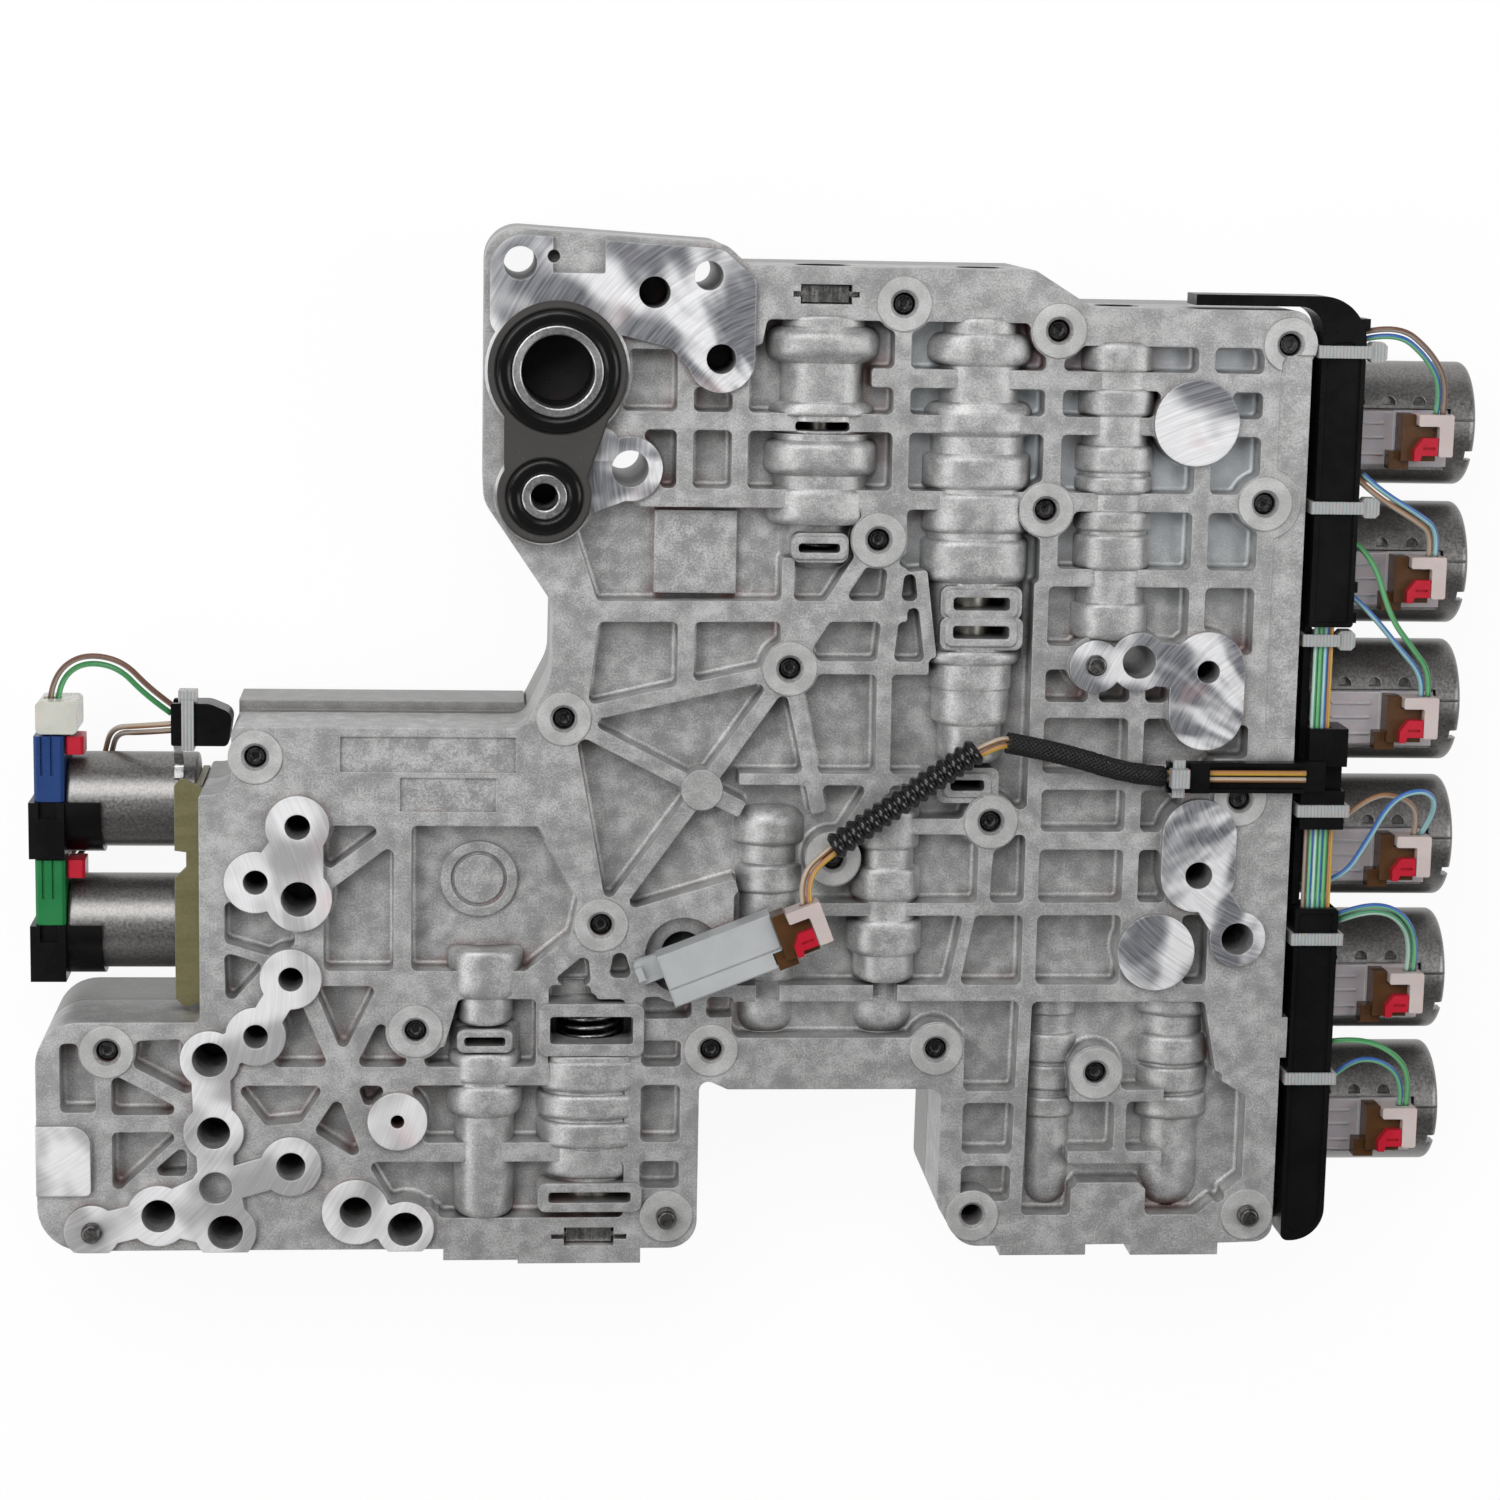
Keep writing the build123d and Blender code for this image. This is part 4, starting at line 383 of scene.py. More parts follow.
def cast_aluminium(name, light, dark, machined):
    """Die-cast aluminium, with painted shade in its corners and a painted highlight on its edges. The front casting
    also has milled pads with painted reflections, bright screw rings, oil left in its corners and painted shade inside
    its bores.
    """
    material, tree, shader = new_material(name)
    grain = use(tree, cast_grain)
    edges = use(tree, soft_edges, Radius=0.55 * MM)
    corner = use(tree, crevices, Reach=4.5 * MM)["Depth"]

    colour = tint(tree, grain["Tone"], rgb(*dark), rgb(*light))
    colour = tint(tree, ease(tree, grain["Height"], 0.63, 0.41, 0.0, 0.56), colour, rgb(0.14, 0.14, 0.14))
    colour = tint(tree, times(tree, grain["Fleck"], 0.50), colour, rgb(0.74, 0.74, 0.73))
    # painted shade: darker towards near-black where the crevice depth is high, in corners and along pocket walls
    colour = tint(tree, times(tree, ease(tree, corner, 0.25, 0.80), 0.80), colour, rgb(0.07, 0.068, 0.065))
    # painted highlight: a paler colour along the rounded edges
    colour = tint(tree, times(tree, edges["Edge"], 0.5), colour, rgb(0.78, 0.78, 0.78))
    roughness = ease(tree, grain["Height"], 0.3, 0.7, 0.38, 0.54)
    normal = height_bump(tree, grain["Height"], 0.45, 0.14 * MM, edges["Normal"])

    if machined:
        place = object_place(tree)
        axes = axes_of(tree, place)
        facing = axes_of(tree, put(tree, "ShaderNodeNewGeometry").outputs["True Normal"])["Z"]
        colour = pale_bluish_floors(tree, colour, axes, facing)
        # painted shade inside the bores, the pump port and the deep holes
        colour = painted_bore_shade(tree, colour, place, axes, facing, corner)
        colour = dried_oil(tree, colour, place, corner)
        colour = turned_rings(tree, colour, axes)
        pad = pad_mask(tree, axes, facing)
        pad_colour, pad_roughness, pad_normal = milled_pads(tree, place, axes, edges)
        colour = tint(tree, pad, colour, pad_colour)
        roughness = pick(tree, pad, roughness, pad_roughness)
        normal = put(tree, "ShaderNodeMix", {0: pad, 4: normal, 5: pad_normal}, data_type="VECTOR").outputs[1]

    wire_up(tree, shader, Base_Color=colour, Roughness=roughness, Normal=normal, Metallic=0.55)
    return material


def ripple(tree, axis, per_metre):
    """A rounded wave along one axis, for threads and for the ribs of a tie."""
    along = axes_of(tree, object_place(tree))[axis]
    return calc(tree, "SINE", times(tree, along, 2 * math.pi * per_metre))


def steel(name, dark, light, roughness, stretch, metallic=1.0, edge=0.0003, threads=0):
    """Rolled, drawn or turned steel, with its lines along the axis that stretch leaves short."""
    material, tree, shader = new_material(name)
    lines = use(tree, drawn_steel, Along_X=stretch[0], Along_Y=stretch[1], Along_Z=stretch[2])
    edges = use(tree, soft_edges, Radius=edge)
    share = weigh(tree, 0.82, lines["Line"], lines["Speckle"])
    colour = tint(tree, ease(tree, share, 0.3, 0.7), rgb(*dark), rgb(*light))
    # painted highlight: a paler colour along the rounded edges
    colour = tint(tree, times(tree, edges["Edge"], 0.35), colour, rgb(0.85, 0.85, 0.85))
    rough = ease(tree, share, 0.2, 0.8, roughness - 0.07, roughness + 0.07)
    normal = height_bump(tree, lines["Line"], 0.12, 0.03 * MM, edges["Normal"])
    if threads:
        cut = ripple(tree, "Z", threads)
        # painted shade: the thread grooves darkened towards black
        colour = tint(tree, ease(tree, cut, 0.2, -0.8, 0.0, 0.7), colour, rgb(0.02, 0.02, 0.02))
        normal = height_bump(tree, cut, 0.9, 0.25 * MM, normal)
    wire_up(tree, shader, Base_Color=colour, Roughness=rough, Normal=normal, Metallic=metallic)
    return material


def plastic(name, colour, roughness, glow=0.0, dust=0.25, texture=0.15, edge=0.0003, shine=0.3, rim=0.0, ribs=0):
    """Moulded plastic or rubber, with uneven gloss and a little dust. Where asked, it has a painted highlight on its
    rims and painted shade in the grooves between its ribs.
    """
    material, tree, shader = new_material(name)
    skin = use(tree, moulded_skin)
    edges = use(tree, soft_edges, Radius=edge)
    pale = tuple(min(1.0, channel * 1.3 + 0.001) for channel in colour)
    base = tint(tree, ease(tree, skin["Gloss"], 0.35, 0.75, 0.0, 0.4), rgb(*colour), rgb(*pale))
    base = tint(tree, times(tree, skin["Dust"], dust), base, rgb(0.6, 0.6, 0.6))
    rough = ease(tree, skin["Gloss"], 0.25, 0.75, roughness - 0.06, roughness + 0.08)
    normal = height_bump(tree, skin["Height"], texture, 0.05 * MM, edges["Normal"])
    if rim:
        # painted highlight: rims paler towards near-white
        base = tint(tree, times(tree, edges["Edge"], rim), base, rgb(0.9, 0.88, 0.88))
    if ribs:
        notch = ripple(tree, "X", ribs)
        # painted shade: the grooves between the ribs darkened
        base = tint(tree, ease(tree, notch, 0.0, -0.9, 0.0, 0.35), base, rgb(*[c * 0.4 for c in colour]))
        normal = height_bump(tree, notch, 0.5, 0.15 * MM, normal)
    wire_up(tree, shader, Base_Color=base, Roughness=rough, Normal=normal, Specular_IOR_Level=shine)
    if glow:
        wire_up(tree, shader, Subsurface_Weight=glow, Subsurface_Scale=0.002)
    return material


# Where a wire's stripe lies, as shares of the way round it
STRIPE_MIDDLE, STRIPE_REACH = 0.19, 0.21


def insulation(name, colour, stripe):
    """Wire insulation with a lengthwise stripe, laid out on the wire's own map."""
    material, tree, shader = new_material(name)
    axes = axes_of(tree, put(tree, "ShaderNodeUVMap", uv_map="wrap").outputs[0])
    skin = use(tree, moulded_skin)
    near = calc(tree, "ABSOLUTE", calc(tree, "SUBTRACT", axes["X"], STRIPE_MIDDLE))
    band = ease(tree, near, STRIPE_REACH, STRIPE_REACH - 0.03)
    base = tint(tree, band, rgb(*colour), rgb(*stripe))
    base = tint(tree, ease(tree, skin["Gloss"], 0.4, 0.8, 0.0, 0.25), base, rgb(*[c * 0.6 for c in colour]))
    wire_up(tree, shader, Base_Color=base, Roughness=ease(tree, skin["Gloss"], 0.3, 0.7, 0.30, 0.42))
    wire_up(tree, shader, Normal=height_bump(tree, skin["Height"], 0.08, 0.03 * MM))
    return material


finishes = {
    "front_casting": cast_aluminium("cast aluminium front", (0.57, 0.57, 0.568), (0.52, 0.518, 0.515), True),
    "barrel_skin": cast_aluminium("cast aluminium barrels", (0.57, 0.57, 0.568), (0.52, 0.518, 0.515), False),
    "rear_casting": cast_aluminium("cast aluminium rear", (0.38, 0.372, 0.367), (0.33, 0.325, 0.32), False),
    "separator_plate": steel("separator plate", (0.10, 0.10, 0.10), (0.20, 0.19, 0.18), 0.42, (400, 400, 60)),
    "seal_carrier": plastic("carrier", (0.042, 0.040, 0.037), 0.55, texture=0.5, edge=0.0004),
    "rubber": plastic("rubber", (0.006, 0.006, 0.0065), 0.13, dust=0.03, texture=0.05, edge=0.0006, shine=0.3),
    "sleeve": steel("turned sleeve", (0.36, 0.36, 0.36), (0.58, 0.58, 0.58), 0.34, (60, 60, 2600)),
    "screw": steel("dark screw", (0.035, 0.035, 0.037), (0.09, 0.09, 0.09), 0.30, (500, 500, 500), edge=0.0004),
    # threads=1000 also paints shade into the stud's thread grooves
    "stud": steel("stud", (0.10, 0.10, 0.10), (0.24, 0.23, 0.22), 0.34, (500, 500, 900), threads=1000),
    "ground_steel": steel("ground steel", (0.30, 0.30, 0.30), (0.55, 0.54, 0.52), 0.26, (900, 60, 900)),
    "valve": steel("anodised valve", (0.26, 0.25, 0.22), (0.42, 0.40, 0.36), 0.34, (900, 60, 900)),
    "spring": steel("spring wire", (0.22, 0.22, 0.22), (0.42, 0.42, 0.42), 0.30, (500, 500, 500)),
    "can": steel(
        "satin can", (0.15, 0.146, 0.142), (0.26, 0.253, 0.247), 0.36, (1500, 1300, 1300), metallic=0.85, edge=0.0005
    ),
    # rim=0.8 paints a highlight on the overmould's rims
    "overmould": plastic("milky overmould", (0.50, 0.46, 0.48), 0.30, glow=0.35, dust=0.06, edge=0.0004, rim=0.8),
    "terminal": plastic("amber terminal", (0.075, 0.034, 0.013), 0.24, dust=0.05),
    "wire_plug": plastic("natural plug", (0.50, 0.43, 0.415), 0.35, glow=0.3, dust=0.05),
    "lock": plastic("red lock", (0.42, 0.010, 0.026), 0.30, dust=0.04),
    "black": plastic("black plastic", (0.0045, 0.0045, 0.005), 0.28, dust=0.04, texture=0.1, shine=0.12),
    "tube": plastic("conduit tube", (0.004, 0.004, 0.0045), 0.14, dust=0.05, texture=0.05, shine=0.6),
    "blue": plastic("blue connector", (0.011, 0.040, 0.150), 0.30, dust=0.06),
    "green": plastic("green connector", (0.012, 0.160, 0.045), 0.30, dust=0.06),
    "olive": steel(
        "olive plated bracket", (0.150, 0.135, 0.058), (0.190, 0.172, 0.082), 0.45, (60, 300, 60), metallic=0.35
    ),
    "dark_sheet": steel("dark bracket", (0.045, 0.035, 0.032), (0.09, 0.07, 0.06), 0.45, (300, 60, 300), metallic=0.6),
    # ribs=1100 also paints shade into the grooves between the tie's ribs
    "tie": plastic("cable tie", (0.36, 0.37, 0.37), 0.32, glow=0.4, dust=0.05, ribs=1100),
    "cap": plastic("clear cap", (0.50, 0.50, 0.45), 0.25, glow=0.3, dust=0.05),
    "sensor": plastic("pale sensor", (0.38, 0.392, 0.40), 0.38, dust=0.05),
    "braid": plastic("braid yarn", (0.008, 0.008, 0.008), 0.40, dust=0.6, texture=0.6),
}

node_finish = {
    "front_casting": "front_casting", "rear_casting": "rear_casting", "separator_plate": "separator_plate",
    "seal_carrier": "seal_carrier", "pump_port_seal": "rubber", "cooler_port_seal": "rubber",
    "pump_port_sleeve": "sleeve", "cooler_port_sleeve": "sleeve", "casting_screws": "screw",
    "alignment_studs": "stud", "bore_plugs": "ground_steel", "plug_retainers": "ground_steel",
    "valve_springs": "spring", "solenoid_overmoulds": "overmould", "solenoid_terminals": "terminal",
    "solenoid_wire_plugs": "wire_plug", "solenoid_plug_locks": "lock", "lockup_solenoid": "can",
    "pressure_solenoid": "can", "connector_shells": "black", "blue_connector": "blue",
    "green_connector": "green", "side_connector_locks": "lock", "connector_cap": "cap",
    "left_bracket": "olive", "right_bracket": "dark_sheet", "upper_conduit": "black", "lower_conduit": "black",
    "conduit_tee": "black", "cable_clamp": "black", "clamp_clip": "sleeve", "cable_ties": "tie",
    "solenoid_leads": "black", "side_leads": "black", "trunk_wires": "black", "branch_wires": "black",
    "branch_braid": "braid", "branch_conduit": "tube", "sensor_plug": "wire_plug", "sensor_plug_lock": "lock",
    "sensor_terminal": "terminal", "temperature_sensor": "sensor",
}
for members in frame["record"]["behaviour"]["bodies"].values():
    for node in members:
        if node.endswith("_valve") or "shift_valve" in node:
            node_finish[node] = "valve"
        if node.startswith("check_ball"):
            node_finish[node] = "ground_steel"
        if node.startswith("clutch_solenoid"):
            node_finish[node] = "can"
for node, finish in node_finish.items():
    shape = cad[node].data
    shape.materials.clear()
    shape.materials.append(finishes[finish])


# Wires

def new_curve(name, radius=0.0, rounding=0):
    curve = bpy.data.curves.new(name, "CURVE")
    curve.dimensions = "3D"
    curve.bevel_depth = radius
    curve.bevel_resolution = rounding
    return curve


def add_line(curve, places, kind="POLY"):
    spline = curve.splines.new(kind)
    spline.points.add(len(places) - 1)
    for point, place in zip(spline.points, places):
        point.co = (*place, 1.0)
    return spline


def smooth_line(name, route, steps):
    """An open NURBS curve that follows a route's corners."""
    curve = new_curve(name)
    curve.resolution_u = steps
    spline = add_line(curve, route, "NURBS")
    spline.order_u = 3
    spline.use_endpoint_u = True
    return curve


def mesh_of(curve):
    """A curve's shape as a mesh, made through an object that is removed again."""
    holder = bpy.data.objects.new("holder", curve)
    bpy.context.scene.collection.objects.link(holder)
    seen = holder.evaluated_get(bpy.context.evaluated_depsgraph_get())
    mesh = bpy.data.meshes.new_from_object(seen)
    bpy.data.objects.remove(holder)
    return mesh


def line_points(curve):
    return [vertex.co.copy() for vertex in mesh_of(curve).vertices]


def finish_piece(name, mesh, material, body="casting"):
    """Makes an object of a mesh, with its finish, and lets it ride on its body."""
    mesh.name = name
    mesh.materials.clear()
    mesh.materials.append(material)
    piece = bpy.data.objects.new(name, mesh)
    bpy.context.scene.collection.objects.link(piece)
    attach(piece, body)
    return piece


def smooth_and_close(mesh):
    mesh.shade_smooth()
    shape = bmesh.new()
    shape.from_mesh(mesh)
    bmesh.ops.holes_fill(shape, edges=[edge for edge in shape.edges if edge.is_boundary])
    shape.to_mesh(mesh)
    shape.free()


def mesh_from(shape, name):
    """A smooth mesh of a bmesh, which is freed."""
    mesh = bpy.data.meshes.new(name)
    shape.to_mesh(mesh)
    shape.free()
    mesh.shade_smooth()
    return mesh


def distances(line):
    """How far along a line each of its points lies."""
    travelled = [0.0]
    for before, after in zip(line, line[1:]):
        travelled.append(travelled[-1] + (after - before).length)
    return travelled


def frames_along(line):
    """At each point of a line: the point, and two directions square to it that turn as little as they can."""
    found = []
    side = Vector((0.0, 0.0, 1.0))
    for i, point in enumerate(line):
        ahead = (line[min(i + 1, len(line) - 1)] - line[max(i - 1, 0)]).normalized()
        side = (side - ahead * side.dot(ahead)).normalized()
        found.append((point, side, ahead.cross(side)))
    return found


def wire(name, route, radius, material, steps=8):
    """A round wire along a route, with a map that runs round it and along it. Also gives its middle line."""
    curve = smooth_line(name, route, steps)
    line = line_points(curve)
    curve.bevel_depth = radius
    curve.bevel_resolution = 3
    mesh = mesh_of(curve)
    sides = len(mesh.vertices) // len(line)
    travelled = distances(line)
    around = []
    for i, (middle, up, across) in enumerate(frames_along(line)):
        for vertex in mesh.vertices[i * sides:(i + 1) * sides]:
            arm = vertex.co - middle
            around.append(math.atan2(arm.dot(across), arm.dot(up)) / (2 * math.pi))
    wrap = mesh.uv_layers.new(name="wrap")
    for face in mesh.polygons:
        turns = [around[index] for index in face.vertices]
        seam = max(turns) - min(turns) > 0.5
        for loop, index, turn in zip(face.loop_indices, face.vertices, turns):
            wrap.data[loop].uv = (turn + 1.0 if seam and turn < 0.0 else turn, travelled[index // sides])
    smooth_and_close(mesh)
    return finish_piece(name, mesh, material), line


def beside(route, distance):
    """A route moved sideways over the face, for the second wire of a pair."""
    moved = []
    for i, (x, y, z) in enumerate(route):
        before, after = route[max(i - 1, 0)], route[min(i + 1, len(route) - 1)]
        legs = [Vector((x - before[0], y - before[1])), Vector((after[0] - x, after[1] - y))]
        legs = [leg.normalized() for leg in legs if leg.length > 0]
        ahead = sum(legs, Vector((0.0, 0.0)))
        side = Vector((-ahead.y, ahead.x)) / ahead.length * distance
        if len(legs) == 2:
            side *= 2.0 / ahead.length
        moved.append((x + side.x, y + side.y, z))
    return moved


BROWN = insulation("brown wire", (0.13, 0.060, 0.035), (0.30, 0.25, 0.21))
BLUE = insulation("blue wire", (0.030, 0.105, 0.34), (0.16, 0.44, 0.22))
GREEN = insulation("green wire", (0.035, 0.21, 0.065), (0.14, 0.42, 0.18))
MINT = insulation("green wire with pale stripe", (0.05, 0.24, 0.12), (0.42, 0.58, 0.50))
TAN = insulation("tan wire", (0.26, 0.125, 0.055), (0.40, 0.33, 0.26))
YELLOW = insulation("yellow wire", (0.50, 0.31, 0.04), (0.36, 0.17, 0.06))
PALE_BLUE = insulation("blue wire with pale stripe", (0.04, 0.13, 0.38), (0.30, 0.52, 0.52))

LEAD_RADIUS = 0.75 * MM
PAIR_SIDE = 0.9
LEAD_SIDES = {"outer": PAIR_SIDE, "inner": -PAIR_SIDE}
CAN_PITCH = 37.6
SOCKET_X, SOCKET_Z = 199.5, 37.6
SOCKET_Y = [85.0 - CAN_PITCH * i + 3.6 for i in range(6)]

lead_pairs = [
    (1, [(175.0, 109.0, 44.5), (184.0, 112.0, 48.0), (193.5, 105.0, 46.5), (199.5, 96.5, 41.5)], BROWN, BLUE),
    (2, [(177.4, 72.7, 44.8), (182.0, 68.5, 45.6), (193.5, 62.0, 43.5), (199.5, 57.8, 40.0)], PALE_BLUE, TAN),
    (5, [(177.2, -45.6, 44.0), (184.5, -42.0, 46.0), (193.5, -43.8, 45.5), (199.5, -52.5, 41.5)], BLUE, MINT),
]
lead_singles = [
    (
        3, "outer",
        [(176.6, 55.5, 45.0), (182.0, 51.5, 45.5), (187.0, 36.0, 45.0), (194.0, 27.5, 43.0), (200.4, 20.0, 40.0)],
        GREEN,
    ),
    (3, "inner", [(176.6, 41.5, 43.5), (181.5, 37.5, 43.8), (190.5, 27.5, 42.4), (198.6, 19.0, 39.6)], PALE_BLUE),
    (4, "inner", [(176.7, -18.9, 44.5), (184.5, -11.5, 45.0), (193.5, -12.5, 44.8), (198.6, -17.5, 41.5)], TAN),
    (
        4, "outer",
        [
            (170.0, -37.0, 42.0), (178.0, -35.5, 42.8), (184.0, -25.0, 44.5), (189.5, -12.0, 48.2),
            (198.5, -9.5, 48.4), (203.2, -15.5, 44.0),
        ],
        PALE_BLUE,
    ),
    (6, "outer", [(176.6, -79.5, 44.5), (184.0, -78.0, 46.2), (194.0, -82.0, 45.2), (200.4, -90.0, 41.2)], GREEN),
    (6, "inner", [(176.7, -91.8, 42.0), (182.0, -85.5, 43.0), (190.5, -84.5, 43.0), (198.6, -91.0, 40.6)], BLUE),
]
for number, route, first, second in lead_pairs:
    whole = route + [(SOCKET_X, SOCKET_Y[number - 1], SOCKET_Z)]
    for (label, side), material in zip(LEAD_SIDES.items(), (first, second)):
        piece, _ = wire(f"solenoid_{number}_{label}_lead", metres(beside(whole, side)), LEAD_RADIUS, material)
for number, label, route, material in lead_singles:
    whole = route + [(SOCKET_X + LEAD_SIDES[label], SOCKET_Y[number - 1], SOCKET_Z)]
    piece, _ = wire(f"solenoid_{number}_{label}_lead", metres(whole), LEAD_RADIUS, material)
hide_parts("solenoid_leads")

left_upper = [
    (-163.6, 3.5, 24.0), (-163.4, 12.0, 24.8), (-156.5, 19.8, 29.5), (-145.5, 19.2, 32.0), (-138.0, 11.0, 31.5),
    (-131.7, 6.4, 31.0),
]
left_lower = [
    (-131.0, 2.0, 30.5), (-141.0, 0.6, 27.0), (-149.0, -2.2, 11.0), (-151.5, -9.5, 3.4), (-153.0, -18.0, 3.0),
    (-155.0, -30.0, 3.0), (-161.0, -38.5, 5.0), (-163.6, -40.0, 15.1),
]
for label, route, side, first, second in (
    ("upper", left_upper, 1.0, BROWN, GREEN), ("lower", left_lower, 0.9, BROWN, TAN),
):
    for place, sign, material in (("first", 1, first), ("second", -1, second)):
        piece, _ = wire(f"side_{label}_{place}_lead", metres(beside(route, sign * side)), LEAD_RADIUS, material)
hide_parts("side_leads")

CONDUIT_HEIGHT, TRAY_HEIGHT = 46.2, 53.2
RIBBON_STEP = 1.32
ribbons = [
    ("upper", 167.4, (36.5, 19.5, 2.5), (MINT, GREEN, PALE_BLUE, YELLOW)),
    ("lower", 167.2, (-17.5, -31.5, -45.5), (BROWN, BLUE, MINT, BLUE, GREEN, YELLOW)),
]
for label, first_x, stations, ribbon in ribbons:
    for k, material in enumerate(ribbon):
        route = metres([(first_x + RIBBON_STEP * k, y, CONDUIT_HEIGHT) for y in stations])
        wire(f"{label}_trunk_wire_{k + 1}", route, 0.65 * MM, material)[0]
for y, material, label in ((-4.7, YELLOW, "yellow"), (-6.5, TAN, "tan")):
    route = metres([(x, y, TRAY_HEIGHT) for x in (164.6, 145.0, 126.6)])
    wire(f"tray_{label}_wire", route, LEAD_RADIUS, material)[0]
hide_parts("trunk_wires")


# Free branch: two wires in a braided sleeve, then in a corrugated tube, to the sensor's plug

branch_route = [
    (126.4, -5.6, 53.6), (117.5, -4.6, 56.4), (101.0, 0.4, 57.2), (88.6, 3.0, 57.2), (80.4, 4.4, 57.2),
    (37.6, -25.9, 57.2), (31.9, -32.6, 59.2), (32.9, -38.6, 60.2),
]
braid_route = branch_route[:4] + [(84.5, 3.7, 57.2)]


def braided_sleeve(name, route, radius, yarns, yarn_radius, lay_length):
    """Two families of yarns that wind opposite ways and pass over and under each other."""
    yarn_lift = 0.45 * yarn_radius
    stations = frames_along(line_points(smooth_line(name, route, 24)))
    travelled = distances([middle for middle, _, _ in stations])
    curve = new_curve(name, yarn_radius, 1)
    for hand in (1, -1):
        for k in range(yarns):
            yarn = []
            for (middle, up, across), way in zip(stations, travelled):
                wound = 2 * math.pi * way / lay_length
                turn = 2 * math.pi * k / yarns + hand * wound
                reach = radius + hand * yarn_lift * math.cos(yarns * wound)
                yarn.append(middle + (up * math.cos(turn) + across * math.sin(turn)) * reach)
            add_line(curve, yarn)
    mesh = mesh_of(curve)
    smooth_and_close(mesh)
    return mesh


def corrugated_tube(name, start, end, peak, valley, bore, ridges):
    """A turned wall with rounded ridges, spun round the line from start to end."""
    axis = Vector(end) - Vector(start)
    square = axis.cross((0.0, 0.0, 1.0)).normalized()
    ridge_points = 12
    samples = ridges * ridge_points
    outer = []
    for k in range(samples + 1):
        swell = (0.5 - 0.5 * math.cos(2 * math.pi * k / ridge_points)) ** 0.6
        outer.append((valley + (peak - valley) * swell, k / samples))
    profile = [(bore, 0.0)] + outer + [(bore, 1.0)]
    shape = bmesh.new()
    corners = [shape.verts.new(Vector(start) + axis * share + square * reach) for reach, share in profile]
    rim = [shape.edges.new(pair) for pair in zip(corners, corners[1:] + corners[:1])]
    bmesh.ops.spin(
        shape, geom=corners + rim, cent=start, axis=axis.normalized(), dvec=(0.0, 0.0, 0.0), angle=2 * math.pi,
        steps=32, use_merge=True,
    )
    bmesh.ops.recalc_face_normals(shape, faces=shape.faces)
    return mesh_from(shape, name)


for label, side, material in (("yellow", PAIR_SIDE, YELLOW), ("tan", -PAIR_SIDE, TAN)):
    route = metres(beside(branch_route, side))
    piece, line = wire(f"branch_{label}_wire", route, LEAD_RADIUS, material, steps=16)
sleeve = finish_piece(
    "branch_braided_sleeve",
    braided_sleeve("branch_braided_sleeve", metres(braid_route), 2.35 * MM, 12, 0.36 * MM, 15.0 * MM),
    finishes["braid"],
)
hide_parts("branch_braid")
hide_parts("branch_wires")
tube_ends = metres([(76.8, 1.86, 57.2), (39.7, -24.4, 57.2)])
tube = finish_piece(
    "branch_corrugated_tube",
    corrugated_tube("branch_corrugated_tube", *tube_ends, 3.7 * MM, 2.75 * MM, 2.3 * MM, 16),
    finishes["tube"],
)
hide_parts("branch_conduit")


# Swollen barrels: a cast skin over each row of lobes, left open round the windows. Values are in millimetres

VALVE_AXIS = 37.0
SKIN_FOOT = 41.0
SKIN_POWER = 3.1
NECK_CREST, LOBE_CREST = 14.0, 14.7
BARREL_DROP = 5.0
SIDE_COVER, CREST_COVER = 0.3, 0.2
BORE_WALL = 1.2
END_STEP = 2.0
SHOULDER_LENGTH, SHOULDER_DEPTH = 0.46, 0.88
LOBE_STEPS, ARCH_STEPS, BORE_STEPS = 16, 28, 12

bores = {
    "main_pressure_valve": (35.5, 7.5), "torque_converter_valve": (76.4, 6.6), "clutch_regulator_valve": (112.5, 6.0),
    "cooler_bypass_valve": (24.2, 5.0), "lock_up_valve": (55.3, 5.2), "shift_valve_left": (-50.0, 5.0),
    "manual_pressure_valve": (-22.1, 9.0), "shift_valve_right": (101.2, 4.4), "solenoid_feed_valve": (134.3, 5.4),
}


def lobe_profile(steps, low, high):
    """Half width and crest along a barrel, with rounded shoulders where a lobe meets a narrower one."""
    narrow, wide = min(step[2] for step in steps), max(step[2] for step in steps)
    found = []
    for i, (top, bottom, half) in enumerate(steps):
        above = steps[i - 1][2] if i else half - END_STEP
        under = steps[i + 1][2] if i + 1 < len(steps) else half - END_STEP
        length = top - bottom
        for k in range(LOBE_STEPS + 1):
            y = top - length * (0.5 - 0.5 * math.cos(math.pi * k / LOBE_STEPS))
            width = half
            for neighbour, gone in ((above, top - y), (under, y - bottom)):
                shoulder = min(SHOULDER_LENGTH * length, SHOULDER_DEPTH * (half - neighbour))
                if gone < shoulder:
                    rise = math.sqrt(max(0.0, 1.0 - (1.0 - gone / shoulder) ** 2))
                    width -= (half - neighbour) * (1.0 - rise)
            if low <= y <= high:
                share = (width - narrow) / max(wide - narrow, 0.1)
                crest = NECK_CREST + (LOBE_CREST - NECK_CREST) * share
                crest = max(crest, math.hypot(width, BARREL_DROP) + CREST_COVER)
                found.append((y, width + SIDE_COVER, crest))
    return found


